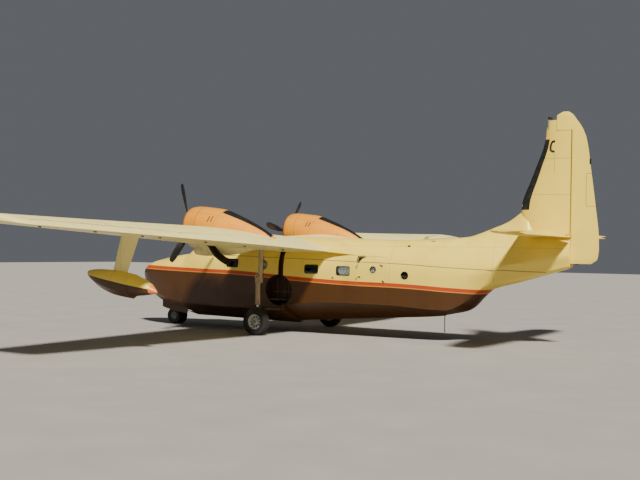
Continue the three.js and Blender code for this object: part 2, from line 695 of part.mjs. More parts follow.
for (const [sideName, side] of SIDES) {
  const y = ENGINE_Y * side;
  const cowlRing = [
    [FIREWALL_X + SEAT_GAP, 742], [4250, 735], [4430, 640], [COWL_LIP_X, 650], [4430, 725],
    [4290, 763], [4120, COWL_RADIUS], [FIREWALL_X + SEAT_GAP, COWL_RADIUS - 8],
  ];
  const inCowl = turned([[3000, 0], [3000, COWL_RADIUS + 2], [4600, COWL_RADIUS + 2], [4600, 0]],
    "x", [0, y, THRUST_Z], 28);
  const chin = cut(pod(CHIN_ROWS, y, 0), inCowl.intersect(block([FIREWALL_X - 20, -9999, 0], [9999, 9999, 9999])));
  const nacelle = cut(join(pod(NACELLE_ROWS, y, 0), chin), wingGrown);
  addPiece(`nacelle_${sideName}`, nacelle, "orange");
  addPiece(`cowl_${sideName}`, turned(cowlRing, "x", [0, y, THRUST_Z], 28), "orange");

  const crankcase = turned(
    [[FIREWALL_X + SEAT_GAP, 0], [FIREWALL_X + SEAT_GAP, 300], [4220, 300], [4300, 220], [4480, 130],
      [ENGINE_NOSE_X, 90], [ENGINE_NOSE_X, 0]],
    "x", [0, y, THRUST_Z], 18);
  const cylinders = Array.from({ length: CYLINDERS }, (_, k) => {
    const turn = (2 * Math.PI * k) / CYLINDERS;
    const at = (r) => [4120, y + r * Math.sin(turn), THRUST_Z + r * Math.cos(turn)];
    return bar([[...at(200), 95], [...at(690), 105]], 8);
  });
  addPiece(`engine_${sideName}`, join(crankcase, ...cylinders), "steel");

  const hub = turned(
    [[ENGINE_NOSE_X + SEAT_GAP, 0], [ENGINE_NOSE_X + SEAT_GAP, 80], [4590, 120], [4710, 120], [4740, 75],
      [4830, 70], [4850, 40], [4850, 0]],
    "x", [0, y, THRUST_Z], 16);
  const blades = [0, 1, 2].map((k) =>
    propBlade(PROP_X, y, THREE.MathUtils.degToRad(PROP_TURN[sideName] + 120 * k)));
  addPiece(`propeller_${sideName}`, join(hub, ...blades), "black");

  const pipeY = y + 520 * side;
  // Exhaust: x, z, radius along the pipe
  const pipe = [[3550, 3420, 105], [3330, 3300, 115], [3060, 2980, 125], [2720, 2750, 125], [2350, 2600, 120]];
  const outer = skin(pipe.map(([x, z, radius]) =>
    circle(new THREE.Vector3(x, pipeY, z), new THREE.Vector3(-1, 0, -0.45), radius, 14)));
  const bore = skin(pipe.slice(1).map(([x, z, radius], k, list) =>
    circle(new THREE.Vector3(x - (k === list.length - 1 ? 60 : 0), pipeY, z - (k === list.length - 1 ? 25 : 0)),
      new THREE.Vector3(-1, 0, -0.45), radius - 14, 14)));
  addPiece(`exhaust_${sideName}`, cut(outer, bore, pod(NACELLE_ROWS, y, SEAT_GAP), wingGrown), "exhaust");
}

// Wing floats: x, keel z, chine half width, chine z, side half width, side z, top z
const FLOAT_LINES = [
  [3940, 2290, 20, 2310, 30, 2330, 2370],
  [3800, 2130, 140, 2230, 170, 2290, 2420],
  [3400, 1870, 260, 2060, 300, 2180, 2450],
  [2800, 1670, 310, 1880, 350, 2080, 2430],
  [2040, 1570, 310, 1740, 345, 1970, 2320],
  [2039, 1650, 300, 1760, 340, 1970, 2320],
  [1500, 1700, 200, 1790, 235, 1900, 2110],
  [1140, 1760, 20, 1775, 30, 1800, 1840],
];
const floatSolid = (side, grow) =>
  skin(FLOAT_LINES.map((row) =>
    hullRing([...row, 0, 2.1], grow).map((point) => point.add(new THREE.Vector3(0, FLOAT_Y * side, 0)))));
// Float pylons: z, leading x, trailing x
const PYLON_ROWS = [[2250, 2930, 2360], [3560, 2560, 1830]];
for (const [sideName, side] of SIDES) {
  addPiece(`float_${sideName}`, floatSolid(side, 0), "brown");
  const pylon = skin(PYLON_ROWS.map(([z, lead, trail]) =>
    foil(0.16, 0, 4 / (lead - trail)).map(([s, across]) =>
      new THREE.Vector3(lead - s * (lead - trail), FLOAT_Y * side + across * (lead - trail), z))));
  addPiece(`float_pylon_${sideName}`, cut(pylon, floatSolid(side, SEAT_GAP), wingGrown), "cream");
}

// Tyres and wheels, turned about the axle; profiles are [across, radius] from the wheel's middle
function tyreProfile({ radius, width, rim }) {
  const half = width / 2;
  return [
    [-half * 0.62, rim + SEAT_GAP], [-half, rim + (radius - rim) * 0.5], [-half * 0.84, radius * 0.955],
    [-half * 0.4, radius], [half * 0.4, radius], [half * 0.84, radius * 0.955],
    [half, rim + (radius - rim) * 0.5], [half * 0.62, rim + SEAT_GAP],
  ];
}

for (const [sideName, side] of SIDES) {
  const y = MAIN_Y * side;
  addPiece(`main_tyre_${sideName}`, turned(tyreProfile(MAIN_TYRE), "y", [MAIN_X, y, MAIN_TYRE.radius], 24, true), "tyre");
  // Across positions grow towards the outside of the aircraft
  const rimProfile = [
    [-108, MAIN_TYRE.rim], [-108, MAIN_TYRE.rim - 24], [30, MAIN_TYRE.rim - 40], [30, 110], [-150, 90], [-150, 48],
    [108, 48], [108, 84], [64, 120], [64, MAIN_TYRE.rim - 42], [108, MAIN_TYRE.rim],
  ].map(([across, radius]) => [across * side, radius]);
  addPiece(`main_wheel_${sideName}`, turned(rimProfile, "y", [MAIN_X, y, MAIN_TYRE.radius], 24, true), "rim");

  const legY = MAIN_LEG_Y * side;
  const axle = bar([[MAIN_X, legY, MAIN_TYRE.radius, 40], [MAIN_X, y + 120 * side, MAIN_TYRE.radius, 40]], 16);
  const collar = bar([[MAIN_X, legY, MAIN_TYRE.radius, 72],
    [MAIN_X, y - (150 + SEAT_GAP) * side, MAIN_TYRE.radius, 72]], 16);
  const head = block([MAIN_X - 60, legY - 60, 430], [LEG_X + 40, legY + 60, 570]);
  const post = bar([[LEG_X, legY, 440, 66], [LEG_X, legY, 1160, 66]], 12);
  const barrel = bar([[LEG_X, legY, 1100, 98], [LEG_X, legY, 1930, 98]], 12);
  const knuckle = block([LEG_X - 150, legY - 90, 1900], [LEG_X + 70, legY + 90, 2120]);
  const upper = bar([[LEG_X - 90, legY, 2080, 48], [LEG_X - 130, legY, 3400, 48]], 12);
  const leg = join(axle, collar, head, post, barrel, knuckle, upper);
  addPiece(`main_leg_${sideName}`, cut(leg, wingGrown), "cream");

  const armIn = 1150 * side;
  const arm = bar([[ARM_X, armIn, 910, 58], [LEG_X, legY - 70 * side, 960, 58]], 10);
  const shoe = block([ARM_X - 130, Math.min(armIn, armIn + 130 * side), 840],
    [ARM_X + 130, Math.max(armIn, armIn + 130 * side), 980]);
  const cuff = bar([[LEG_X, legY, 1020, 84], [LEG_X, legY, 900, 84]], 12);
  const postHole = bar([[LEG_X, legY, 1040, 66 + SEAT_GAP], [LEG_X, legY, 880, 66 + SEAT_GAP]], 12);
  const hullNear = hullPiece(DECK_JOINT_X, AFT_JOINT_X, SEAT_GAP + 0.2);
  addPiece(`main_arm_${sideName}`, cut(join(arm, shoe, cuff), postHole, hullNear), "steel");
}

// Nose gear: fixed leg in the bay, steering fork, twin wheels on one axle
const NOSE_FORK_TOP = 860;
const noseLeg = join(
  bar([[NOSE_GEAR_X, 0, NOSE_FORK_TOP + SEAT_GAP, 72], [NOSE_GEAR_X, 0, BAY.top - SEAT_GAP, 72]], 14),
  bar([[NOSE_GEAR_X + 20, 0, 1150, 34], [BAY.front - SEAT_GAP - 20, 0, 1400, 34]], 10),
  block([BAY.front - 70, -60, 1330], [BAY.front - SEAT_GAP, 60, 1470]),
);
addPiece("nose_leg", noseLeg, "steel");
const forkBore = bar([[NOSE_GEAR_X, -90, NOSE_TYRE.radius, 34], [NOSE_GEAR_X, 90, NOSE_TYRE.radius, 34]], 16);
const noseFork = cut(
  join(
    bar([[NOSE_GEAR_X, 0, NOSE_TYRE.radius - 20, 46], [NOSE_GEAR_X, 0, NOSE_FORK_TOP, 54]], 14),
    bar([[NOSE_GEAR_X, -62, NOSE_TYRE.radius, 60], [NOSE_GEAR_X, 62, NOSE_TYRE.radius, 60]], 16),
    block([NOSE_GEAR_X - 90, -90, 700], [NOSE_GEAR_X + 60, 90, 780]),
  ),
  forkBore,
);
addPiece("nose_fork", noseFork, "steel");
const noseRims = SIDES.map(([, side]) =>
  turned(
    [[-58, NOSE_TYRE.rim], [-58, 130], [10, 120], [10, 70], [-127.6, 60], [-127.6, 0], [60, 0], [30, 70],
      [30, 124], [58, NOSE_TYRE.rim]].map(([across, radius]) => [across * side, radius]),
    "y", [NOSE_GEAR_X, NOSE_WHEEL_Y * side, NOSE_TYRE.radius], 18, true));
const noseAxle = bar(
  [[NOSE_GEAR_X, -150, NOSE_TYRE.radius, 26], [NOSE_GEAR_X, 150, NOSE_TYRE.radius, 26]], 16);
addPiece("nose_wheels", join(...noseRims, noseAxle), "rim");
for (const [sideName, side] of SIDES) {
  const centre = [NOSE_GEAR_X, NOSE_WHEEL_Y * side, NOSE_TYRE.radius];
  addPiece(`nose_tyre_${sideName}`, turned(tyreProfile(NOSE_TYRE), "y", centre, 18, true), "tyre");
}

// Nose gear doors hang open from the edges of the bay: x, z of the outline seen from the side
const NOSE_DOOR_Y = [455, 485];
const NOSE_DOOR = [[8290, 1010], [8290, 720], [7700, 560], [6990, 470], [6990, 760], [7600, 850]];
for (const [sideName, side] of SIDES) {
  const [near, far] = NOSE_DOOR_Y.map((y) => y * side).sort((a, b) => a - b);
  const door = plate(NOSE_DOOR, "y", near, far);
  addPiece(`nose_door_${sideName}`, cut(door, hullPiece(NOSE_X, BOW_JOINT_X, SEAT_GAP + 0.2)), "brown");
}

// Flight deck fittings seen through the glass
for (const [sideName, side] of SIDES) {
  const y = 520 * side;
  const seat = join(
    block([5250, y - 230, DECK_FLOOR_Z + SEAT_GAP], [5650, y + 230, 2320]),
    block([5130, y - 230, DECK_FLOOR_Z + 200], [5260, y + 230, 3000]),
    block([5140, y - 120, 2990], [5230, y + 120, 3160]),
  );
  addPiece(`pilot_seat_${sideName}`, seat, "seat");
}
const panelShape = plate([[-900, 2380], [900, 2380], [860, 2800], [-860, 2800]], "x", 6240, 6330);
const pedestal = block([5900, -120, DECK_FLOOR_Z + SEAT_GAP], [6260, 120, 2420]);
addPiece("instrument_panel", join(panelShape, pedestal), "black");

// Small outside fittings: rod under the keel and the aerial on the tail cone
const keelRod = bar([[-4160, 0, 270, 16], [-4160, 0, 1000, 16]], 8);
addPiece("keel_rod", cut(keelRod, hullPiece(-3000, TAIL_JOINT_X + 10, SEAT_GAP)), "black");

export default aircraft;
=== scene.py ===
"""Looks for a full-size twin-engined flying boat that also stands on wheels.

Metres. +X is forward, +Y is to port, +Z is up, and z = 0 is the ground under the wheels.
The hull, wing, tail, engines, floats and gear are lofted from the tables below, each in its own operator.
"""

import json
from functools import cache
from math import atan2, ceil, cos, exp, pi, radians, sin, sqrt, tan

import bmesh
import bpy
import numpy as np
from bpy.props import FloatProperty, FloatVectorProperty, PointerProperty
from mathutils import Matrix, Vector

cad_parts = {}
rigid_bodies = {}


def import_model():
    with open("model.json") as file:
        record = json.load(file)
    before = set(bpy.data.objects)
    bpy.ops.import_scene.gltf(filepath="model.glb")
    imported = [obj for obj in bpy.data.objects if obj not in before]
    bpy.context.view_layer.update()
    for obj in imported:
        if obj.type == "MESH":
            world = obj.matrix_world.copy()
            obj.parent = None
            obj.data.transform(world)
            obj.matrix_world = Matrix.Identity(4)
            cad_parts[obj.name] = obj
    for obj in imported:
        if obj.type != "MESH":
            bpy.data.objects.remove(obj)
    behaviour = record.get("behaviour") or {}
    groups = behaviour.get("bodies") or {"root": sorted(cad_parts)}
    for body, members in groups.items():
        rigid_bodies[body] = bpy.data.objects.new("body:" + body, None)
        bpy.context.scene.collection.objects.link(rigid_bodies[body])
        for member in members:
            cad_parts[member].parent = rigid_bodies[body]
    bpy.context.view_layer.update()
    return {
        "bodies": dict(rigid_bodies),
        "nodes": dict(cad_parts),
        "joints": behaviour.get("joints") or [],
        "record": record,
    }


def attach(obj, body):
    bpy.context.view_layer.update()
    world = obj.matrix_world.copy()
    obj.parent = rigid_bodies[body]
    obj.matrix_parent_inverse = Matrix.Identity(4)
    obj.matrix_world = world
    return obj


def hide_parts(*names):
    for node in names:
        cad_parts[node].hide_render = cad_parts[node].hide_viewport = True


bl_info = {
    "name": "Flying boat looks",
    "version": (1, 0, 0),
    "blender": (4, 5, 0),
    "location": "3D View > Sidebar > Flying boat",
    "description": "Builds the skins, finishes and fittings of a twin-engined flying boat",
    "category": "Object",
}

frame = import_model()

CREASE = 32  # edges sharper than this many degrees show as edges
SIDES = (("port", 1), ("starboard", -1))
AIRFRAME = "airframe"
AHEAD, UP = Vector((1, 0, 0)), Vector((0, 0, 1))

# Hull stations: x, keel z, chine y, chine z, side y, side z, top z, roundness below, fullness above
BOW_ROWS = [
    (9.58, 1.99, 0.04, 2.01, 0.06, 2.06, 2.11, 1, 2),
    (9.5, 1.84, 0.21, 1.93, 0.24, 2.07, 2.27, 1, 2),
    (9.38, 1.66, 0.33, 1.86, 0.38, 2.08, 2.38, 1, 2),
    (9.02, 1.22, 0.57, 1.65, 0.65, 2.1, 2.55, 0.8, 2),
    (8.41, 0.83, 0.82, 1.36, 0.9, 2.13, 2.69, 0.4, 2),
    (7.6, 0.62, 1.01, 1.11, 1.09, 2.16, 2.84, 0.15, 2.1),
    (6.79, 0.43, 1.12, 0.97, 1.19, 2.2, 2.95, 0, 2.2),
]
WINDSCREEN_ROWS = [
    BOW_ROWS[-1],
    (6.42, 0.425, 1.14, 0.95, 1.21, 2.22, 3.27, 0, 2.5),
    (6.04, 0.42, 1.16, 0.93, 1.23, 2.24, 3.55, 0, 2.6),
]
FOREBODY_ROWS = [
    WINDSCREEN_ROWS[-1],
    (4.7, 0.395, 1.2, 0.88, 1.255, 2.3, 3.61, 0, 2.4),
    (1.79, 0.35, 1.22, 0.85, 1.26, 2.3, 3.62, 0, 2.3),
]
AFTERBODY_ROWS = [
    (1.789, 0.44, 1.2, 1.08, 1.26, 2.3, 3.62, 0, 2.3),
    (-0.01, 0.575, 1.2, 1.24, 1.255, 2.3, 3.6, 0, 2.3),
    (-2.4, 0.735, 1.17, 1.225, 1.215, 2.29, 3.54, 0, 2.2),
    (-4.16, 0.88, 1.05, 1.13, 1.11, 2.25, 3.59, 0, 2.1),
    (-4.54, 0.955, 0.99, 1.11, 1.07, 2.24, 3.62, 0.1, 2.05),
    (-5.11, 1.1, 0.82, 1.33, 1, 2.26, 3.68, 0.5, 1.9),
    (-5.47, 1.48, 0.72, 1.7, 0.94, 2.36, 3.79, 0.9, 1.75),
    (-5.91, 1.85, 0.66, 2.02, 0.86, 2.52, 3.96, 1, 1.55),
    (-6.46, 2.01, 0.56, 2.2, 0.75, 2.66, 4.18, 1, 1.3),
    (-6.93, 2.13, 0.48, 2.31, 0.66, 2.76, 4.5, 1, 1.05),
]
STERN_ROWS = [
    AFTERBODY_ROWS[-1],
    (-7.16, 2.2, 0.44, 2.37, 0.61, 2.795, 4.49, 1, 1.05),
    (-7.4, 2.26, 0.41, 2.43, 0.57, 2.83, 3.95, 1, 1.4),
    (-7.62, 2.33, 0.37, 2.49, 0.53, 2.88, 3.78, 1, 1.7),
    (-8.72, 2.66, 0.19, 2.76, 0.3, 3.06, 3.7, 1, 1.8),
]
STEP_X = 1.79
DECK_BACK_X = 4.6
TAIL_JOINT_X = -4.95
HULL_WALL = 0.045
STATION_STEP = 0.11
BOTTOM_STEPS, SIDE_STEPS, CROWN_STEPS = 7, 3, 16

# Top edge of the stripe along the hull: x, z
STRIPE_LINE = [
    (-9.0, 1.76), (-5.94, 1.84), (-4.85, 1.89), (-2.96, 1.99), (-0.96, 2.03), (1.17, 2.12), (4.14, 2.3),
    (5.84, 2.34), (8.4, 2.4), (9.6, 2.42),
]
# Rail high on the hull's side: x, z
RAIL_LINE = [(5.0, 2.9), (3.75, 2.86), (-1.1, 2.74), (-2.9, 2.69), (-4.8, 2.59), (-6.6, 2.53), (-7.97, 2.49)]

# Cabin windows: middle x, middle z, half length, half height, corner radius, sides
CABIN_WINDOWS = [
    ("forward", 4.235, 2.585, 0.285, 0.175, 0.08, (1, -1)),
    ("porthole", 2.77, 2.54, 0.18, 0.18, 0.18, (1, -1)),
    ("middle", 0.655, 2.425, 0.305, 0.175, 0.08, (1, -1)),
    ("rear", -0.68, 2.39, 0.29, 0.18, 0.08, (1, -1)),
    ("door_side", -1.89, 2.455, 0.135, 0.135, 0.135, (-1,)),
    ("last", -3.12, 2.28, 0.15, 0.15, 0.15, (1, -1)),
]
DOOR_WINDOW = (-1.89, 2.455, 0.135, 0.135, 0.135)
# Curtains: window, aft x, forward x, bottom z, top z
CURTAINS = [("porthole", 2.66, 2.88, 2.38, 2.76), ("rear", -1.02, -0.5, 2.25, 2.62),
    ("door_side", -2.06, -1.72, 2.3, 2.64)]
DOOR_CURTAIN = (-2.05, -1.73, 2.29, 2.63)
GLASS_INSET, GLASS_THICKNESS, FRAME_WIDTH, SEAL_WIDTH = 0.016, 0.006, 0.028, 0.013
CURTAIN_INSET = 0.085
WINDSCREEN_PANE = [(0.06, 3.03), (0.65, 3.03), (0.56, 3.44), (0.06, 3.47)]
# From behind the windscreen to ahead of it, and from inside a side window to outside
WINDSCREEN_REACH, DECK_WINDOW_DEPTH = (5.9, 7.2), (0.7, 1.5)
DECK_SIDE_WINDOWS = [(5.85, 3.115, 0.17, 0.185, 0.06), (5.37, 3.1, 0.23, 0.2, 0.06)]

DOOR = {"front": -1.28, "back": -2.38, "low": 1.98, "high": 2.92, "corner": 0.09, "gap": 0.008,
    "thickness": 0.06}
DOOR_PIN = (-1.274, 1.282)
DOOR_HINGES = (2.14, 2.56)
# Outline of the dark triangular plate over the door's front corner: x, z
DOOR_DARK_PLATE = [(-1.24, 2.945), (-1.56, 2.955), (-1.48, 2.933), (-1.268, 2.933), (-1.262, 2.75),
    (-1.25, 2.62), (-1.238, 2.62), (-1.228, 2.8)]
# Outline of the dark triangular plate on the door's front corner, below the other one: x, z
DOOR_DARK_PLATE_ON_DOOR = [(-1.284, 2.908), (-1.58, 2.908), (-1.46, 2.86), (-1.37, 2.78), (-1.31, 2.66), (-1.284, 2.62)]
TRIM_TAB = {"front": -9.15, "low": 4.7, "high": 5.78}
RAIL_RADIUS = 0.014
WHEEL_SLOTS = 10

# Wing: y, leading x, trailing x, thickness share
WING_ROOT = (0.0, 3.62, -0.08, 0.17)
WING_BREAK_Y = 5.5
WING_TIP = (14.4, 3.09, 0.89, 0.12)
TRAIL_Z, HULL_SIDE_Y, DIHEDRAL, INCIDENCE = 3.09, 1.3, 0.046, radians(5)
WING_CAMBER = 0.022
TRAIL_EDGE = 0.014
# inboard y, outboard y, hinge x at each, gap round the nose
FLAP = (1.42, 8.86, 0.6, 0.76, 0.024)
AILERON = (8.96, 14.18, 0.9, 1.42, 0.02)
END_GAP = 0.02
HINGE_NOSE = 0.97
FOIL_POINTS = 22
ARC_POINTS = 9
# Steps round a leading edge, from the upper side to the lower
EDGE_STEPS = [k / 8 for k in range(-8, 9)]

# Fin and rudder: z, leading x, trailing x, thickness share
BLADE_ROWS = [(2.8, -8.4, -9.33, 0.2), (2.93, -8.2, -9.52, 0.17), (3.25, -7.9, -9.58, 0.13),
    (3.7, -7.25, -9.57, 0.12), (4.6, -6.94, -9.47, 0.11), (5.8, -7.35, -9.31, 0.113),
    (6.98, -7.76, -9.13, 0.12), (7.3, -7.79, -9.0, 0.12), (7.6, -7.9, -8.8, 0.12), (7.8, -8.2, -8.64, 0.16),
    (7.87, -8.34, -8.52, 0.18)]
RUDDER_X, RUDDER_GAP = -8.68, 0.018
# Radius of the rudder's nose: low z, radius there, high z, radius there
RUDDER_NOSE = (2.74, 0.112, 7.97, 0.028)
CONE_HOLLOW = 0.126
HORN_Z, HORN_FRONT_X = 7.25, -8.15
# Tailplane and elevator: y, leading x, trailing x, thickness share
TAILPLANE_ROWS = [(0.06, -6.95, -8.78, 0.11), (4.48, -7.53, -8.64, 0.1), (4.64, -7.64, -8.56, 0.09),
    (4.725, -7.84, -8.38, 0.08)]
TAILPLANE_Z, ELEVATOR_X, ELEVATOR_DROOP, ELEVATOR_GAP = 3.78, -8.08, radians(9), 0.014
# Room for the rudder beside the tailplane's root: back of x, half width
RUDDER_ROOM = (-8.56, 0.18)
ELEVATOR_SPAN, ELEVATOR_NOSES = (0.34, 4.44), (0.074, 0.044)

# Power units: nacelle x, middle z, half width, top z, bottom z
ENGINE_Y, THRUST_Z = 3.37, 3.9
NACELLE_ROWS = [
    (3.88, 3.9, 0.748, 4.652, 3.09), (3.6, 3.88, 0.727, 4.627, 2.93), (3.03, 3.8, 0.67, 4.55, 2.89),
    (2.4, 3.7, 0.56, 4.33, 2.96), (1.53, 3.52, 0.38, 3.94, 3.16), (0.76, 3.385, 0.12, 3.49, 3.28),
]
CHIN_ROWS = [(4.28, 3.08, 0.25, 3.26, 2.9), (3.9, 3.08, 0.3, 3.3, 2.86), (3.4, 3.08, 0.3, 3.3, 2.88),
    (2.8, 3.12, 0.24, 3.3, 2.96)]
FIREWALL_X, COWL_LIP_X, COWL_SEAM_X = 3.88, 4.48, 3.03
# Leaning lines on the cowl: x + z / 4 of the louvres, x + 0.43 z of the joint, z - 0.148 x of the long seam
LOUVRES, COWL_SEAM_LEAN, COWL_SEAM_HEIGHT = (4.39, 4.26), 4.879, 3.866
# Exhaust: x, z, radius along the pipe
EXHAUST_STOPS = [(3.55, 3.42, 0.105), (3.33, 3.3, 0.115), (3.06, 2.98, 0.125), (2.72, 2.75, 0.125),
    (2.35, 2.6, 0.12)]
EXHAUST_WALL = 0.014
PROP_X = 4.65
PROP_TURN = {"port": 18.5, "starboard": -39.0}
CYLINDERS = 9
# Blade: distance from the hub, chord, thickness, pitch in degrees
BLADE_SECTIONS = [
    (0.06, 0.11, 0.1, 60), (0.16, 0.112, 0.1, 58), (0.26, 0.13, 0.084, 56), (0.48, 0.23, 0.052, 46),
    (0.9, 0.3, 0.046, 26), (1.35, 0.29, 0.034, 15), (1.6, 0.22, 0.022, 11), (1.66, 0.14, 0.014, 10),
    (1.675, 0.08, 0.006, 10),
]

# Floats: x, keel z, chine half width, chine z, side half width, side z, top z
FLOAT_Y = 9.4
FLOAT_STEP_X = 2.04
FLOAT_ROWS = [
    (3.94, 2.29, 0.02, 2.31, 0.03, 2.33, 2.37), (3.8, 2.13, 0.14, 2.23, 0.17, 2.29, 2.42),
    (3.4, 1.87, 0.26, 2.06, 0.3, 2.18, 2.45), (2.8, 1.67, 0.31, 1.88, 0.35, 2.08, 2.43),
    (2.04, 1.57, 0.31, 1.74, 0.345, 1.97, 2.32),
]
FLOAT_STERN_ROWS = [
    (2.039, 1.65, 0.3, 1.76, 0.34, 1.97, 2.32), (1.5, 1.7, 0.2, 1.79, 0.235, 1.9, 2.11),
    (1.14, 1.76, 0.02, 1.775, 0.03, 1.8, 1.84),
]
# Float pylon: z, leading x, trailing x
PYLON_ROWS = [(2.25, 2.93, 2.36), (3.56, 2.56, 1.83)]

MAIN_X, MAIN_Y = 2.09, 2.69
MAIN_LEG_Y, LEG_X, ARM_X = 2.42, 2.22, 1.93
MAIN_TYRE = {"radius": 0.5, "width": 0.35, "rim": 0.262}
NOSE_GEAR_X, NOSE_WHEEL_Y, NOSE_FORK_TOP = 7.89, 0.19, 0.86
NOSE_TYRE = {"radius": 0.33, "width": 0.18, "rim": 0.165}
BAY = {"front": 8.48, "back": 7.0, "half": 0.43, "top": 1.56}
WELL = {"z": 1.61, "radius": 0.58, "inner": 0.8, "slot_x": 1.99, "slot_half": 0.11, "slot_top": 3.06,
    "slot_inner": 1.08, "wall": 0.02}

# Pilots' seats from the middle, and the floors' heights
SEAT_Y, DECK_FLOOR_Z, CABIN_FLOOR_Z = 0.52, 1.9, 1.25
# Outline of a nose gear door: x, z
NOSE_DOOR = [(8.29, 1.01), (8.29, 0.72), (8.2, 0.68), (7.7, 0.56), (7.1, 0.482), (6.99, 0.49), (6.99, 0.76),
    (7.6, 0.85)]
NOSE_DOOR_Y = (0.457, 0.483)

# Camera, as fitted to the photograph
CAMERA_AT = (-18.31, 32.61, 3.17)
CAMERA_YAW, CAMERA_PITCH, CAMERA_ROLL = 30.68, 0.521, 0.8
CAMERA_LENS = 55.85


def linear(code):
    """A colour written as six hex digits, as the shader's linear numbers."""
    parts = [int(code[k:k + 2], 16) / 255 for k in (0, 2, 4)]
    return tuple(p / 12.92 if p < 0.04045 else ((p + 0.055) / 1.055) ** 2.4 for p in parts)


def mix(a, b, part):
    return a + (b - a) * part


# Curves through tables


class Lines:
    """Columns of a table joined by smooth curves that don't overshoot; the first column is the place."""

    def __init__(self, rows):
        table = np.array(sorted(rows), float)
        self.place, self.columns = table[:, 0], table[:, 1:]
        step = np.diff(self.place)[:, None]
        rise = np.diff(self.columns, axis=0) / step
        self.slopes = np.vstack([rise[:1], rise])
        for k in range(1, len(rise)):
            before, after = 2 * step[k] + step[k - 1], step[k] + 2 * step[k - 1]
            same = rise[k - 1] * rise[k] > 0
            safe = np.where(same, rise[k - 1], 1), np.where(same, rise[k], 1)
            self.slopes[k] = np.where(same, (before + after) / (before / safe[0] + after / safe[1]), 0)

    def at(self, place):
        k = int(np.clip(np.searchsorted(self.place, place) - 1, 0, len(self.place) - 2))
        gap = self.place[k + 1] - self.place[k]
        s = min(max((place - self.place[k]) / gap, 0.0), 1.0)
        a, b = self.columns[k], self.columns[k + 1]
        rise_a, rise_b = self.slopes[k] * gap, self.slopes[k + 1] * gap
        value = (2 * s**3 - 3 * s**2 + 1) * a + (s**3 - 2 * s**2 + s) * rise_a
        return value + (3 * s**2 - 2 * s**3) * b + (s**3 - s**2) * rise_b


def places(first, last, step, *extra):
    """Even places from first to last, with the extra ones that lie between."""
    count = max(1, ceil(abs(last - first) / step))
    even = [mix(first, last, k / count) for k in range(count + 1)]
    low, high = sorted((first, last))
    inside = [e for e in extra if low < e < high]
    kept = [e for e in even if all(abs(e - i) > step / 4 for i in inside) or e in (first, last)]
    return sorted(kept + inside, reverse=first > last)


HULL_ROWS = BOW_ROWS, WINDSCREEN_ROWS, FOREBODY_ROWS, AFTERBODY_ROWS, STERN_ROWS
HULL_PARTS = [Lines(rows) for rows in HULL_ROWS]
RAIL = Lines(RAIL_LINE)
HULL_KNOTS = [row[0] for rows in HULL_ROWS for row in rows]


def hull_lines(x):
    """The hull's lines at x: keel z, chine y, chine z, side y, side z, top z, roundness, fullness."""
    for part in HULL_PARTS:
        if x >= part.place[0]:
            return part.at(x)
    return HULL_PARTS[-1].at(x)


def half_section(lines):
    keel, chine_y, chine_z, side_y, side_z, top, roundness, fullness = lines
    half = []
    for k in range(BOTTOM_STEPS + 1):
        part = k / BOTTOM_STEPS
        flat = (chine_y * part, keel + (chine_z - keel) * part)
        bent = (chine_y * sin(part * pi / 2), chine_z - (chine_z - keel) * cos(part * pi / 2))
        half.append((mix(flat[0], bent[0], roundness), mix(flat[1], bent[1], roundness)))
    for k in range(1, SIDE_STEPS):
        part = k / SIDE_STEPS
        half.append((mix(chine_y, side_y, part), mix(chine_z, side_z, part)))
    for k in range(CROWN_STEPS + 1):
        turn = k / CROWN_STEPS * pi / 2
        rise = sin(turn) ** (2 / fullness)
        half.append((side_y * max(cos(turn), 0) ** (2 / fullness), mix(side_z, top, rise)))
    half[-1] = (0.0, top)
    return half


def hull_ring(x, inset=0.0, lines=hull_lines, middle=0.0):
    """A ring round the hull at x; inset moves it inwards."""
    half = half_section(lines(x))
    rows = []
    for k, (y, z) in enumerate(half):
        lift = inset if k <= BOTTOM_STEPS else -inset if k > BOTTOM_STEPS + SIDE_STEPS else 0
        rows.append((max(y - inset, 0.001) if 0 < k < len(half) - 1 else 0.0, z + lift))
    other = [(-y, z) for y, z in reversed(rows[1:-1])]
    return [Vector((x, middle + y, z)) for y, z in rows + other]


def hull_width(x, z):
    """Half width of the hull's side and crown at height z."""
    _, chine_y, chine_z, side_y, side_z, top, _, fullness = hull_lines(x)
    if z < side_z:
        return mix(chine_y, side_y, (z - chine_z) / (side_z - chine_z))
    rise = min((z - side_z) / (top - side_z), 1.0) ** (fullness / 2)
    return side_y * sqrt(max(1 - rise**2, 0.0)) ** (2 / fullness)


def hull_point(x, z, side, out=0.0):
    """A point on the hull's side, moved out along the skin's normal."""
    here = Vector((x, hull_width(x, z), z))
    small = 0.02
    along = Vector((x + small, hull_width(x + small, z), z)) - here
    up = Vector((x, hull_width(x, z + small), z + small)) - here
    normal = up.cross(along).normalized()
    if normal.y < 0:
        normal.negate()
    here += normal * out
    return Vector((here.x, here.y * side, here.z))


# Meshes


def placed(name, data):
    """An object in the scene from its data."""
    obj = bpy.data.objects.new(name, data)
    bpy.context.scene.collection.objects.link(obj)
    return obj


def new_object(name, points, faces):
    mesh = bpy.data.meshes.new(name)
    mesh.from_pydata([tuple(p) for p in points], [], faces)
    return placed(name, mesh)


def from_work(name, work):
    """An object from a mesh in the making."""
    mesh = bpy.data.meshes.new(name)
    work.to_mesh(mesh)
    work.free()
    return placed(name, mesh)


def tidy_mesh(obj, weld=1e-5):
    """Welds points that meet and turns every face outwards."""
    work = bmesh.new()
    work.from_mesh(obj.data)
    bmesh.ops.remove_doubles(work, verts=work.verts, dist=weld)
    bmesh.ops.dissolve_degenerate(work, edges=work.edges, dist=weld)
    bmesh.ops.recalc_face_normals(work, faces=work.faces)
    work.to_mesh(obj.data)
    work.free()
    return obj


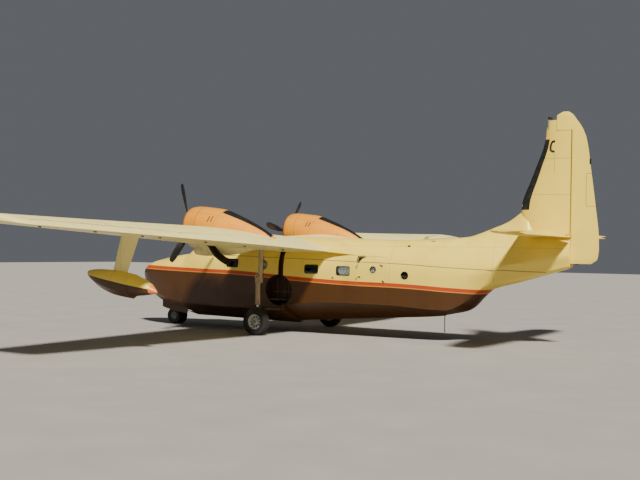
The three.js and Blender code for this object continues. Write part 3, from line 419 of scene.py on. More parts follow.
def loft(rings, caps=True, around=False, open_ring=False):
    """A skin over rings of points; around joins the last ring to the first."""
    count = len(rings[0])
    faces = []
    for r in range(len(rings) - (0 if around else 1)):
        nxt = (r + 1) % len(rings)
        for k in range(count - (1 if open_ring else 0)):
            b = (k + 1) % count
            faces.append((r * count + k, r * count + b, nxt * count + b, nxt * count + k))
    if caps and not around:
        faces.append(tuple(reversed(range(count))))
        faces.append(tuple(range((len(rings) - 1) * count, len(rings) * count)))
    return tidy_mesh(new_object("part", [p for ring in rings for p in ring], faces))


def turns(count):
    """Evenly spaced angles round a circle."""
    return [2 * pi * k / count for k in range(count)]


def spokes(turn):
    """The way out from a shaft that runs ahead, at an angle from the top, and the way across that."""
    return Vector((0, sin(turn), cos(turn))), Vector((0, cos(turn), -sin(turn)))


def facing(centre, direction=UP):
    """A placing whose Z runs along the direction, or up."""
    return Matrix.Translation(Vector(centre)) @ Vector(direction).to_track_quat("Z", "Y").to_matrix().to_4x4()


def lathe(profile, placing, count=40):
    """A closed profile of (along, radius) turned round the placing's Z."""
    return loft([[placing @ Vector((r * cos(turn), r * sin(turn), along)) for along, r in profile]
        for turn in turns(count)], around=True)


def spun(profile, placing, count=40):
    """A solid turned round the placing's Z, with flat ends."""
    return lathe([(profile[0][0], 0), *profile, (profile[-1][0], 0)], placing, count)


def ring_round(centre, along, radius, count):
    helper = UP if abs(along.z) < 0.9 * along.length else AHEAD
    u = helper.cross(along).normalized()
    v = along.cross(u).normalized()
    return [centre + u * (radius * cos(t)) + v * (radius * sin(t)) for t in turns(count)]


def tube(stops, radius, count=12):
    """A round bar through the stops; radius is one number or one for each stop."""
    points = [Vector(p) for p in stops]
    radii = radius if isinstance(radius, (list, tuple)) else [radius] * len(points)
    rings = []
    for k, point in enumerate(points):
        along = points[min(k + 1, len(points) - 1)] - points[max(k - 1, 0)]
        rings.append(ring_round(point, along, radii[k], count))
    return loft(rings)


def curved(stops, count=8):
    """A smooth run of points through the stops."""
    points = [Vector(p) for p in stops]
    run = []
    for k in range(len(points) - 1):
        before, a, b, after = points[max(k - 1, 0)], points[k], points[k + 1], points[min(k + 2,
            len(points) - 1)]
        for step in range(count):
            s = step / count
            run.append(0.5 * (2 * a + (b - before) * s + (2 * before - 5 * a + 4 * b - after) * s**2
                + (3 * a - before - 3 * b + after) * s**3))
    return run + [points[-1]]


def slab(low, high, bevel=0.01, placing=None):
    """A box with rounded edges between two opposite corners."""
    low, high = (Vector([pick(pair) for pair in zip(low, high)]) for pick in (min, max))
    work = bmesh.new()
    bmesh.ops.create_cube(work, size=1.0)
    size = high - low
    for vert in work.verts:
        vert.co = low + Vector([(vert.co[k] + 0.5) * size[k] for k in range(3)])
    bmesh.ops.bevel(work, geom=work.edges[:], offset=min(bevel, min(size) * 0.45), segments=3, affect="EDGES")
    if placing:
        bmesh.ops.transform(work, matrix=placing, verts=work.verts)
    return from_work("part", work)


def rounded_outline(x, z, half_x, half_z, corner, steps=8):
    """Points (x, z) round a rectangle with round corners."""
    points = []
    for quarter, (sx, sz) in enumerate([(1, 1), (-1, 1), (-1, -1), (1, -1)]):
        for k in range(steps + 1):
            turn = (quarter + k / steps) * pi / 2
            points.append((x + sx * (half_x - corner) + corner * cos(turn),
                z + sz * (half_z - corner) + corner * sin(turn)))
    return points


def pushed(outline, low, high, axis="y"):
    """An outline of (a, z) pushed through from low to high along y or x."""
    def at(place):
        return [(a, place, z) if axis == "y" else (place, a, z) for a, z in outline]
    return loft([at(low), at(high)])


def gather(name, pieces):
    """One object from several."""
    work = bmesh.new()
    for piece in pieces:
        piece.data.transform(piece.matrix_world)
        work.from_mesh(piece.data)
        bpy.data.objects.remove(piece)
    return from_work(name, work)


def baked(obj):
    """The object with its modifiers made real."""
    evaluated = obj.evaluated_get(bpy.context.evaluated_depsgraph_get())
    mesh = bpy.data.meshes.new_from_object(evaluated)
    obj.modifiers.clear()
    obj.data = mesh
    return obj


def carve(obj, *tools, operation="DIFFERENCE"):
    """Cuts the tools out of the object, or keeps what they share, and removes the tools."""
    for tool in tools:
        modifier = obj.modifiers.new("carve", "BOOLEAN")
        modifier.operation = operation
        modifier.object = tool
        modifier.solver = "MANIFOLD"
    baked(obj)
    for tool in tools:
        bpy.data.objects.remove(tool)
    return obj


def thick(obj, thickness):
    """A sheet made into a thin solid."""
    modifier = obj.modifiers.new("thick", "SOLIDIFY")
    modifier.thickness = thickness
    modifier.offset = -1
    return baked(obj)


def fit(name, pieces, slot, finish, *nodes, body=AIRFRAME):
    """Joins pieces into one that has its finish and smooth shading, and rides it on its body."""
    obj = gather(name, pieces)
    obj.data.materials.append(finish)
    obj.data.polygons.foreach_set("use_smooth", [True] * len(obj.data.polygons))
    obj.data.set_sharp_from_angle(angle=radians(CREASE))
    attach(obj, body)
    if nodes:
        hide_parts(*nodes)
    return obj


# Finishes


class Finish:
    """A material's nodes, built step by step; each step returns a socket."""

    def __init__(self, name, color, roughness, metallic=0.0):
        self.material = bpy.data.materials.new(name)
        self.material.use_nodes = True
        self.tree = self.material.node_tree
        self.shader = self.tree.nodes["Principled BSDF"]
        self.shader.inputs["Base Color"].default_value = (*color, 1)
        self.shader.inputs["Roughness"].default_value = roughness
        self.shader.inputs["Metallic"].default_value = metallic
        coordinates = self.node("TexCoord")
        split = self.node("SeparateXYZ")
        self.feed(coordinates.outputs["Object"], split.inputs[0])
        self.place = coordinates.outputs["Object"]
        self.x, self.y, self.z = split.outputs

    def node(self, kind):
        return self.tree.nodes.new("ShaderNode" + kind)

    def feed(self, value, socket):
        if isinstance(value, bpy.types.NodeSocket):
            self.tree.links.new(value, socket)
        elif isinstance(value, tuple):
            socket.default_value = (*value, 1)
        else:
            socket.default_value = value

    def math(self, operation, *values):
        node = self.node("Math")
        node.operation = operation
        for socket, value in zip(node.inputs, values):
            self.feed(value, socket)
        return node.outputs[0]

    def times(self, a, b):
        return self.math("MULTIPLY", a, b)

    def minus(self, a, b):
        return self.math("SUBTRACT", a, b)

    def most(self, a, b):
        return self.math("MAXIMUM", a, b)

    def above(self, value, place, edge=0.003):
        """One over a place, with a soft edge."""
        return self.span(value, place - edge, place + edge)

    def blend(self, part, first, second, kind="MIX"):
        node = self.node("Mix")
        node.data_type = "RGBA"
        node.blend_type = kind
        self.feed(part, node.inputs["Factor"])
        self.feed(first, node.inputs[6])
        self.feed(second, node.inputs[7])
        return node.outputs[2]

    def span(self, value, low, high, to_low=0.0, to_high=1.0):
        """The value's place between low and high, as to_low to to_high."""
        node = self.node("MapRange")
        for socket, number in zip(node.inputs[:5], (value, low, high, to_low, to_high)):
            self.feed(number, socket)
        return node.outputs[0]

    def noise(self, scale, detail=3.0, stretch=(1, 1, 1), rough=0.55):
        mapping = self.node("Mapping")
        mapping.inputs["Scale"].default_value = stretch
        self.feed(self.place, mapping.inputs["Vector"])
        node = self.node("TexNoise")
        node.inputs["Scale"].default_value = scale
        node.inputs["Detail"].default_value = detail
        node.inputs["Roughness"].default_value = rough
        self.feed(mapping.outputs[0], node.inputs["Vector"])
        return node.outputs["Fac"]

    def line_height(self, points, low, high):
        """The height of a line through (x, z) points, at this point's x."""
        first, last = points[0][0], points[-1][0]
        curve = self.node("FloatCurve")
        track = curve.mapping.curves[0]
        marks = [((x - first) / (last - first), (z - low) / (high - low)) for x, z in points]
        track.points[0].location, track.points[1].location = marks[0], marks[-1]
        for mark in marks[1:-1]:
            track.points.new(*mark)
        curve.mapping.update()
        self.feed(self.span(self.x, first, last), curve.inputs["Value"])
        return self.span(curve.outputs[0], 0.0, 1.0, low, high)

    def near(self, value, places_list, half):
        """One where the value is within half of one of the places, else nought."""
        found = None
        for place in places_list:
            away = self.math("ABSOLUTE", self.minus(value, place))
            mask = self.span(away, half, half * 0.4)
            found = mask if found is None else self.most(found, mask)
        return found

    def within(self, value, low, high, edge=0.004):
        """One between the two values, else nought."""
        return self.times(self.span(value, low, low + edge), self.span(value, high, high - edge))

    def repeated(self, value, spacing):
        """Distance from the nearest of evenly spaced places."""
        moved = self.math("ADD", value, spacing / 2)
        return self.math("ABSOLUTE", self.minus(self.math("FLOORED_MODULO", moved, spacing), spacing / 2))

    def rivets(self, across, along, line_spacing, pitch, radius=0.006):
        """Rows of small round heads on evenly spaced lines."""
        off_line = self.repeated(across, line_spacing)
        off_head = self.repeated(along, pitch)
        squares = self.math("ADD", self.math("POWER", off_line, 2.0), self.math("POWER", off_head, 2.0))
        return self.span(self.math("SQRT", squares), radius, radius * 0.5)

    def color(self, socket):
        self.feed(socket, self.shader.inputs["Base Color"])

    def roughness(self, socket):
        self.feed(socket, self.shader.inputs["Roughness"])

    def bump(self, height, strength, distance):
        node = self.node("Bump")
        node.inputs["Strength"].default_value = strength
        node.inputs["Distance"].default_value = distance
        self.feed(height, node.inputs["Height"])
        self.feed(node.outputs[0], self.shader.inputs["Normal"])

    def weathered_skin(self, color, seams=None, heads=None, grime=0.22, seam_share=0.55):
        """Sheet metal under paint: soft waves, stains, seams, rivet heads and a little dirt. Seam lines
        darken the paint, and some of them are painted shade of gaps.
        """
        patches = self.span(self.noise(0.55, 4), 0.3, 0.72)
        streaks = self.span(self.noise(2.2, 5, (0.5, 1, 0.12)), 0.5, 0.8)
        faded = self.blend(self.times(patches, 0.24), color, (0.86, 0.82, 0.72), "MULTIPLY")
        stained = self.blend(self.times(streaks, grime), faded, (0.3, 0.24, 0.17), "MULTIPLY")
        height = self.times(self.noise(1.4, 1), 0.6)
        if seams is not None:
            stained = self.blend(self.times(seams, seam_share), stained, (0.2, 0.16, 0.11), "MULTIPLY")
            height = self.minus(height, self.times(seams, 0.5))
        if heads is not None:
            stained = self.blend(self.times(heads, 0.3), stained, (0.3, 0.25, 0.2), "MULTIPLY")
            height = self.math("ADD", height, self.times(heads, 0.35))
        self.color(stained)
        self.roughness(self.span(self.noise(3.0, 4), 0.3, 0.7, 0.3, 0.5))
        self.bump(height, 0.35, 0.006)
        return self.material


def settings():
    return bpy.context.scene.flying_boat


@cache
def hull_paint():
    s = settings()
    f = Finish("hull two-tone paint", tuple(s.cream), 0.4)
    over = f.minus(f.z, f.line_height(STRIPE_LINE, 1.4, 2.8))
    body = tuple(s.brown)
    for drop, color in ((s.stripe_height + s.pinstripe, s.pinstripe_color), (s.stripe_height, s.stripe),
            (0, s.cream)):
        body = f.blend(f.above(over, -drop), body, tuple(color))
    seams = f.most(f.near(f.x, (4.6, -2.53, -6.2), 0.008), f.near(f.z, (3.3,), 0.006))
    return f.weathered_skin(body, seams, f.rivets(f.x, f.z, 0.55, 0.06))


@cache
def wing_paint():
    color = tuple(settings().wing_cream)
    f = Finish("wing cream paint", color, 0.4)
    out = f.math("ABSOLUTE", f.y)
    seams = f.most(f.near(out, (1.4, 5.5, 8.9, 11.4), 0.008), f.near(f.x, (2.55, 1.55), 0.006))
    # The dark line just ahead of each flap and aileron hinge is painted shade of the gap there.
    for inner, outer, inner_x, outer_x, _ in (FLAP, AILERON):
        off_hinge = f.minus(f.x, f.span(out, inner, outer, inner_x, outer_x))
        seams = f.most(seams, f.times(f.near(off_hinge, (0.06,), 0.03), f.within(out, inner, outer)))
    return f.weathered_skin(color, seams, f.rivets(out, f.x, 0.45, 0.06), 0.14)


@cache
def tail_paint():
    color = tuple(settings().cream)
    f = Finish("tail cream paint", color, 0.4)
    tab = TRIM_TAB
    # The last mark, a wide dark line just ahead of the rudder's hinge, is painted shade of the rudder's gap.
    # The others are panel and tab joints.
    marks = [(f.near(f.z, (5.1, 6.31), 0.008), f.x, RUDDER_X, -7), (f.near(f.x, (-8.1,), 0.009), f.z, 5.82,
        6.52), (f.near(f.x, (tab["front"],), 0.012), f.z, tab["low"], tab["high"]),
        (f.near(f.z, (tab["low"], tab["high"]), 0.012), f.x, -9.6, tab["front"]),
        (f.near(f.x, (RUDDER_X + 0.03,), 0.02), f.z, 3.3, HORN_Z)]
    seams = 0.0
    for line, along, low, high in marks:
        seams = f.most(seams, f.times(line, f.within(along, low, high)))
    # Lines here are darkened more strongly than elsewhere, to carry that painted shade.
    return f.weathered_skin(color, seams, f.rivets(f.z, f.x, 0.4, 0.06), 0.16, 0.85)


@cache
def nacelle_paint():
    """Orange over cream, with a red lip, a black spine and louvre slots painted dark as shade."""
    s = settings()
    f = Finish("nacelle orange paint", tuple(s.orange), 0.4)
    off_middle = f.minus(f.math("ABSOLUTE", f.y), ENGINE_Y)
    edge = 0.004
    body = f.blend(f.above(f.z, 3.5, edge), tuple(s.wing_cream), tuple(s.orange))
    body = f.blend(f.above(f.x, COWL_LIP_X - 0.09, edge), body, tuple(s.stripe))
    half = f.span(f.x, 1.21, 2.79, 0.15, 0.33)
    spine = f.span(f.minus(f.math("ABSOLUTE", off_middle), half), edge, -edge)
    spine = f.times(f.times(spine, f.within(f.x, 0.95, 2.93)), f.span(f.z, 3.4, 3.42))
    body = f.blend(spine, body, (0.008, 0.008, 0.009))
    # The louvre slots are not cut. They are painted dark as the shade inside them.
    lean = f.math("ADD", f.x, f.times(f.z, 0.25))
    body = f.blend(f.times(f.near(lean, LOUVRES, 0.03), f.within(f.z, 4.09, 4.3)), body, (0.05, 0.025, 0.01))
    joint = f.near(f.math("ADD", f.x, f.times(f.z, 0.43)), (COWL_SEAM_LEAN,), 0.012)
    line = f.near(f.minus(f.z, f.times(f.x, 0.148)), (COWL_SEAM_HEIGHT,), 0.009)
    seams = f.most(joint, f.times(line, f.within(f.x, COWL_SEAM_X, 4.3)))
    seams = f.most(seams, f.near(f.x, (FIREWALL_X, 1.95), 0.009))
    return f.weathered_skin(body, seams, f.rivets(f.x, off_middle, 0.28, 0.05), 0.3)


@cache
def float_paint():
    s = settings()
    f = Finish("float two-tone paint", tuple(s.brown), 0.4)
    deck = f.minus(f.z, f.span(f.x, 1.14, 3.94, 1.86, 2.3))
    body = f.blend(f.above(deck, 0), tuple(s.brown), tuple(s.cream))
    body = f.blend(f.above(f.x, 1.36, -0.003), body, tuple(s.float_tip))
    return f.weathered_skin(body, f.near(f.x, (1.52, 2.7), 0.006), f.rivets(f.x, f.z, 0.3, 0.05))


@cache
def coat(name, color, other, spots, gloss, grain, metallic=0.0):
    """A finish with spots of another colour, uneven gloss and a fine grain.

    spots is noise scale, detail, low, high and share; gloss is scale, detail and the roughness from and to;
    grain is scale, detail, strength and depth."""
    f = Finish(name, color, gloss[2], metallic)
    share = f.span(f.noise(*spots[:2]), *spots[2:4])
    f.color(f.blend(f.times(share, spots[4]) if spots[4] < 1 else share, color, other))
    f.roughness(f.span(f.noise(*gloss[:2]), 0.3, 0.7, *gloss[2:]))
    f.bump(f.noise(*grain[:2]), *grain[2:])
    return f.material


def boot_rubber():
    return coat("black boot rubber", (0.006, 0.006, 0.007), (0.025, 0.024, 0.022), (6, 5, 0.45, 0.75, 1),
        (9, 3, 0.45, 0.75), (14, 2, 0.2, 0.003))


def black_paint():
    return coat("matt black paint", (0.007, 0.007, 0.008), (0.08, 0.075, 0.07), (11, 6, 0.6, 0.74, 0.3),
        (5, 4, 0.35, 0.6), (60, 2, 0.08, 0.001))


def tyre_rubber():
    return coat("tyre rubber", (0.015, 0.015, 0.0155), (0.1, 0.09, 0.075), (4, 6, 0.42, 0.72, 0.3),
        (8, 3, 0.75, 0.95), (90, 3, 0.25, 0.002))


def sooty_metal():
    return coat("sooty exhaust metal", (0.008, 0.007, 0.007), (0.05, 0.026, 0.018), (5, 5, 0.4, 0.75, 1),
        (14, 4, 0.5, 0.8), (40, 3, 0.2, 0.002), 0.5)


def enamel(name, color, grime=0.35, rough=0.4):
    """Painted steel or alloy castings, dirty in places."""
    return coat(name, color, (0.06, 0.045, 0.03), (7, 6, 0.48, 0.75, grime),
        (12, 3, rough - 0.08, rough + 0.2), (45, 3, 0.15, 0.001))


def bare_metal(name, color, rough=0.35):
    return coat(name, color, tuple(c * 0.45 for c in color), (8, 5, 0.35, 0.7, 1),
        (20, 4, rough - 0.08, rough + 0.25), (70, 2, 0.1, 0.001), 0.9)


def leather(name, color):
    return coat(name, color, tuple(min(1, c * 2.2) for c in color), (5, 5, 0.4, 0.75, 1), (9, 4, 0.4, 0.7),
        (220, 4, 0.35, 0.001))


# Cream paint for the legs, darkened as painted shade, since they stand in the shade of the wing and hull.
def shaded_gear_cream():
    return enamel("gear cream darkened as shade", (0.4, 0.31, 0.18), 0.5, 0.45)


def gear_brown():
    return enamel("gear brown", (0.06, 0.036, 0.018), 0.5, 0.5)


# Darker cream for the rails and small fittings: partly their own paint, partly painted shade along the rails.
def shaded_rail_paint():
    return enamel("rail paint darkened as shade", (0.42, 0.34, 0.15), 0.35, 0.5)


@cache
def clear_glass():
    f = Finish("window glass", (0.72, 0.78, 0.78), 0.04)
    f.shader.inputs["Transmission Weight"].default_value = 1.0
    f.shader.inputs["IOR"].default_value = 1.45
    f.roughness(f.span(f.noise(6, 4), 0.3, 0.75, 0.01, 0.06))
    f.bump(f.noise(1.2, 1), 0.1, 0.004)
    return f.material


@cache
def soft_cloth(name, color):
    f = Finish(name, color, 0.9)
    f.shader.inputs["Sheen Weight"].default_value = 0.2
    # Darker in tall noise bands: painted shade of folds.
    folds = f.span(f.noise(3, 4, (3, 3, 0.6)), 0.3, 0.7)
    f.color(f.blend(folds, tuple(c * 0.72 for c in color), color))
    f.bump(f.noise(260, 2), 0.3, 0.001)
    return f.material


# Wing sections


def foil_height(share, thickness, camber=0.0, sharp=0.0):
    """Upper and lower height of an aerofoil at a share of its chord, in chords."""
    s = min(max(share, 0.0), 1.0)
    half = 5 * thickness * (0.2969 * sqrt(s) - 0.126 * s - 0.3516 * s**2 + 0.2843 * s**3 - 0.1036 * s**4)
    middle = camber * 4 * s * (1 - s)
    return middle + half + sharp * s, middle - half - sharp * s


class WingSection:
    """The wing at one y; shrink draws it in towards the rounded tip."""

    def __init__(self, y, shrink=1.0):
        part = min(max((abs(y) - WING_BREAK_Y) / (WING_TIP[0] - WING_BREAK_Y), 0.0), 1.0)
        lead, trail, thickness = (mix(WING_ROOT[k], WING_TIP[k], part) for k in (1, 2, 3))
        middle = mix(trail, lead, 0.45)
        self.y, self.trail, self.thickness = y, trail, thickness * shrink
        self.front, self.back = mix(middle, lead, shrink), mix(middle, trail, shrink)
        self.trail_z = TRAIL_Z + DIHEDRAL * (abs(y) - HULL_SIDE_Y)
        self.chord = self.front - self.back

    def heights(self, x):
        """Upper and lower z at x."""
        share = (self.front - x) / self.chord
        sharp = TRAIL_EDGE / 2 / self.chord
        base = self.trail_z + (x - self.trail) * tan(INCIDENCE)
        return tuple(base + h * self.chord for h in foil_height(share, self.thickness, WING_CAMBER, sharp))

    def point(self, x, upper):
        return Vector((x, self.y, self.heights(x)[0 if upper else 1]))


def split_outline(front, back, heights, hinge, radius, moving):
    """Points (x, z) round the fixed or the moving part of a section that is cut at a hinge.

    heights gives (upper, lower) at x, hinge is the axis (x, z), radius the nose's or the hollow's."""
    hinge_x, hinge_z = hinge
    cuts = [hinge_x, hinge_x]
    for side in (0, 1):
        for _ in range(0 if moving else 6):
            off = heights(cuts[side])[side] - hinge_z
            cuts[side] = hinge_x + sqrt(max(radius**2 - off**2, 0.0))
    upper, lower = [], []
    for k in range(FOIL_POINTS + 1):
        part = k / FOIL_POINTS if moving else 1 - cos(k / FOIL_POINTS * pi / 2)
        start = back if moving else front
        for side, points in ((0, upper), (1, lower)):
            x = mix(start, cuts[side], part)
            points.append((x, heights(x)[side]))
    angles = [pi / 2, -pi / 2] if moving else [atan2(heights(c)[side] - hinge_z, c - hinge_x)
        for side, c in enumerate(cuts)]
    arc = []
    for k in range(1, ARC_POINTS):
        turn = mix(*angles, k / ARC_POINTS)
        arc.append((hinge_x + radius * cos(turn), hinge_z + radius * sin(turn)))
    return upper + arc + (lower if moving else lower[1:])[::-1]


def flat_foil(lead, trail, thickness, edge=0.0025):
    """A foil without camber: gives upper and lower height at x."""
    chord = lead - trail

    def heights(x):
        up = foil_height((lead - x) / chord, thickness, 0, edge / chord)[0] * chord
        return up, -up
    return heights


def whole_outline(front, back, heights, count=FOIL_POINTS):
    shares = [1 - cos(k / count * pi / 2) for k in range(count + 1)]
    upper = [(mix(front, back, s), heights(mix(front, back, s))[0]) for s in reversed(shares)]
    lower = [(mix(front, back, s), heights(mix(front, back, s))[1]) for s in shares[1:]]
    return upper + lower


def hinge_at(surface, y):
    """Hinge place (x, z) and half thickness of the wing there."""
    inner, outer, inner_x, outer_x, _ = surface
    ends = []
    for at_y, at_x in ((inner, inner_x), (outer, outer_x)):
        top, bottom = WingSection(at_y).heights(at_x)
        ends.append((at_x, (top + bottom) / 2))
    part = (y - inner) / (outer - inner)
    hinge_x = mix(ends[0][0], ends[1][0], part)
    top, bottom = WingSection(y).heights(hinge_x)
    return (hinge_x, mix(ends[0][1], ends[1][1], part)), (top - bottom) / 2


def wing_ring(outline, y, side):
    return [Vector((x, y * side, z)) for x, z in outline]


def wing_run(surface, low, high, side, moving=False, step=0.6):
    """The fixed or the moving part of the wing between two y."""
    rings = []
    for y in places(low, high, step, WING_BREAK_Y):
        section = WingSection(y)
        hinge, half = hinge_at(surface, y)
        radius = half * HINGE_NOSE + (0 if moving else surface[4])
        outline = split_outline(section.front, section.back, section.heights, hinge, radius, moving)
        rings.append(wing_ring(outline, y, side))
    return loft(rings)


def wing_whole(stations, side):
    rings = []
    for y, shrink in stations:
        section = WingSection(y, shrink)
        rings.append(wing_ring(whole_outline(section.front, section.back, section.heights), y, side))
    return loft(rings)


def band_ring(edge, out=0.005, sunk=0.012):
    """A closed ring round a strip of rubber: along the line outside the edge and back inside it."""
    last = len(edge) - 1
    middle = edge[last // 2] - (edge[0] + edge[last]) / 2
    plane = (edge[last] - edge[0]).cross(middle)
    ways = [plane.cross(edge[min(k + 1, last)] - edge[max(k - 1, 0)]).normalized() for k in range(last + 1)]
    turn = 1 if ways[last // 2].dot(middle) > 0 else -1
    outer = [point + way * (out * turn) for point, way in zip(edge, ways)]
    inner = [point - way * (sunk * turn) for point, way in zip(edge, ways)]
    return outer + inner[::-1]


# Operators


class Part:
    """What every operator of this file shares."""

    bl_options = {"REGISTER", "UNDO"}

    def execute(self, context):
        self.build(context.scene.flying_boat)
        return {"FINISHED"}


def window_tool(x, z, half_x, half_z, corner, side, grow=0.0, depth=(0.6, 1.5)):
    outline = rounded_outline(x, z, half_x + grow, half_z + grow, corner + grow)
    low, high = sorted((depth[0] * side, depth[1] * side))
    return pushed(outline, low, high)


def door_shape():
    """The door's middle, half sizes and corner, as rounded_outline takes them."""
    return ((DOOR["front"] + DOOR["back"]) / 2, (DOOR["low"] + DOOR["high"]) / 2,
        (DOOR["front"] - DOOR["back"]) / 2, (DOOR["high"] - DOOR["low"]) / 2, DOOR["corner"])


def door_tool(grow):
    return window_tool(*door_shape(), 1, grow)


def well_cup(side, start, extra):
    """The round part of a wheel well, from its inner face out past the hull."""
    radius, reach = WELL["radius"] + extra, 1.6 - start + (0 if extra else 0.05)
    placing = facing((MAIN_X, start * side, WELL["z"]), (0, side, 0))
    return spun([(0, radius), (reach, radius)], placing, 64)


def well_slot(side, start, extra):
    """The slot above the well, which takes the leg."""
    half = WELL["slot_half"] + extra
    return slab((WELL["slot_x"] - half, start * side, WELL["z"]), (WELL["slot_x"] + half,
        (1.6 if extra else 1.66) * side, WELL["slot_top"] + extra), 0)


def hull_loft(front, back, inset=0.0):
    return loft([hull_ring(x, inset) for x in places(front, back, STATION_STEP, *HULL_KNOTS)])


def grown(outline, by):
    """An outline moved out from its middle."""
    middle = Vector((sum(a for a, _ in outline) / len(outline), sum(z for _, z in outline) / len(outline)))
    moved = []
    for point in outline:
        away = Vector(point) - middle
        moved.append(tuple(middle + away * (1 + by / away.length)))
    return moved


def patch(outline, side, top, bottom, hole=None, axis="y"):
    """The layer of the hull's skin between two insets, inside an outline and outside a hole in it."""
    if axis == "y":
        along = [a for a, _ in outline]
        front, back, reach = max(along) + 0.06, min(along) - 0.06, sorted((0.5 * side, 1.5 * side))
    else:
        front, back, reach = 6.9, 5.98, WINDSCREEN_REACH
    piece = hull_loft(front, back, top)
    carve(piece, hull_loft(front + 0.03, back - 0.03, bottom))
    carve(piece, pushed(outline, *reach, axis), operation="INTERSECT")
    if hole:
        carve(piece, pushed(hole, *reach, axis))
    return piece


def opening_pieces(outline, side, axis="y"):
    """Glass, frame and rubber seal for an opening in the hull's skin."""
    glass = patch(grown(outline, -0.001), side, GLASS_INSET, GLASS_INSET + GLASS_THICKNESS, None, axis)
    frame = patch(grown(outline, FRAME_WIDTH), side, -0.003, 0.004, grown(outline, -0.004), axis)
    seal = patch(grown(outline, -0.003), side, 0.001, 0.03, grown(outline, -SEAL_WIDTH), axis)
    return glass, frame, seal


def curtain(name, back, front, low, high, side, body):
    """A gathered curtain behind a window, with soft folds that fan out to its hem."""
    columns, rows = 64, 14
    points = []
    for r in range(rows + 1):
        z = mix(high, low, r / rows)
        for c in range(columns + 1):
            part = c / columns
            x = mix(back, front, part)
            fold = 0.007 * sin(part * pi * 11 + 0.8 * sin(r / rows * 2)) * mix(0.6, 1.1, r / rows)
            points.append(hull_point(x, z, side, fold - CURTAIN_INSET))
    width = columns + 1
    faces = [(r * width + c, r * width + c + 1, (r + 1) * width + c + 1, (r + 1) * width + c)
        for r in range(rows) for c in range(columns)]
    row, column = points[:width], points[::width]
    flat = tuple(sum((b - a).length for a, b in zip(line, line[1:])) for line in (row, column))
    cloth = fit(name, [new_object("part", points, faces)], "cream_paint",
        soft_cloth("curtain cloth", (0.86, 0.85, 0.86)), body=body)
    rail = [hull_point(mix(back - 0.03, front + 0.03, k / 6), high, side, -CURTAIN_INSET) for k in range(7)]
    return tube(rail, 0.005, 10)


class FB_OT_bow(Part, bpy.types.Operator):
    """Bow and flight deck skin, with the windscreen, side windows and nose gear bay cut in it"""

    bl_idname = "flying_boat.bow"
    bl_label = "Bow and flight deck"

    def build(self, s):
        skin = hull_loft(BOW_ROWS[0][0], DECK_BACK_X)
        room = hull_loft(6.62, DECK_BACK_X + 0.12, HULL_WALL)
        carve(room, slab((4, -2, 0), (8, 2, 1.9), 0))
        bay = slab((BAY["back"], -BAY["half"], 0), (BAY["front"], BAY["half"], BAY["top"]), 0)
        tools = [room, bay]
        for side in (1, -1):
            tools.append(pushed([(y * side, z) for y, z in WINDSCREEN_PANE], *WINDSCREEN_REACH, "x"))
            tools += [window_tool(*window, side, depth=DECK_WINDOW_DEPTH) for window in DECK_SIDE_WINDOWS]
        carve(skin, *tools)
        fit("bow_skin", [skin], "hull_paint", hull_paint(), "hull_bow", "hull_flight_deck")


class FB_OT_cabin(Part, bpy.types.Operator):
    """Cabin skin with the step, wheel wells, windows and doorway"""

    bl_idname = "flying_boat.cabin"
    bl_label = "Cabin hull"

    def build(self, s):
        front = loft([hull_ring(x) for x in places(DECK_BACK_X, STEP_X, STATION_STEP)])
        after = hull_loft(AFTERBODY_ROWS[0][0], TAIL_JOINT_X)
        for skin, low, high in ((front, STEP_X - 0.2, DECK_BACK_X + 0.1),
                (after, TAIL_JOINT_X - 0.1, STEP_X + 0.1)):
            room = hull_loft(high, low, HULL_WALL)
            carve(room, slab((-6, -2, 0), (6, 2, CABIN_FLOOR_Z), 0))
            carve(skin, room, *self.tools(front_half=skin == front))
        fit("cabin_skin", [front, after], "hull_paint", hull_paint(), "hull_center", "hull_aft")

    def tools(self, front_half):
        tools = []
        for _, x, z, half_x, half_z, corner, sides in CABIN_WINDOWS:
            if (x > STEP_X) == front_half:
                tools += [window_tool(x, z, half_x, half_z, corner, side) for side in sides]
        if not front_half:
            tools.append(door_tool(DOOR["gap"]))
        for side in (1, -1):
            tools += [well_cup(side, WELL["inner"], 0), well_slot(side, WELL["slot_inner"], 0)]
        return tools


class FB_OT_tail_cone(Part, bpy.types.Operator):
    """Tail cone with the fillet that runs up to the fin"""

    bl_idname = "flying_boat.tail_cone"
    bl_label = "Tail cone"

    def build(self, s):
        cone = hull_loft(TAIL_JOINT_X, STERN_ROWS[-1][0])
        hollow = spun([(2.4, CONE_HOLLOW), (4.4, CONE_HOLLOW)], facing((RUDDER_X, 0, 0)))
        back = slab((-9.2, -0.5, 2.2), (RUDDER_X + RUDDER_GAP / 2, 0.5, 4.4), 0)
        carve(cone, hollow, back)
        fit("tail_cone_skin", [cone], "hull_paint", hull_paint(), "tail_cone")


class FB_OT_wing(Part, bpy.types.Operator):
    """Wing centre section and outer panels with hollows for the flaps and ailerons"""

    bl_idname = "flying_boat.wing"
    bl_label = "Wing"

    def build(self, s):
        flap_in, flap_out = FLAP[0] - END_GAP, FLAP[1] + END_GAP
        aileron_in, aileron_out = AILERON[0] - END_GAP, AILERON[1] + END_GAP
        root = places(-flap_in, flap_in, 0.5)
        centre = [wing_whole([(y, 1) for y in root], 1)]
        for name, side in SIDES:
            centre.append(wing_run(FLAP, flap_in, WING_BREAK_Y, side))
            outer = [wing_run(FLAP, WING_BREAK_Y, flap_out, side), wing_whole([(flap_out, 1),
                (aileron_in, 1)], side), wing_run(AILERON, aileron_in, aileron_out, side),
                wing_whole([(aileron_out, 1), (14.4, 1), (14.54, 0.96), (14.64, 0.87), (14.7, 0.74),
                (14.725, 0.6), (14.73, 0.48)], side)]
            fit(f"wing_outer_{name}_skin", outer, "cream_paint", wing_paint(), f"wing_outer_{name}")
            for surface_name, surface in (("flap", FLAP), ("aileron", AILERON)):
                body = f"{surface_name}_{name}"
                fit(f"{body}_skin", [wing_run(surface, *surface[:2], side, True)], "cream_paint",
                    wing_paint(), body, body=body)
        fit("wing_center_skin", centre, "cream_paint", wing_paint(), "wing_center")


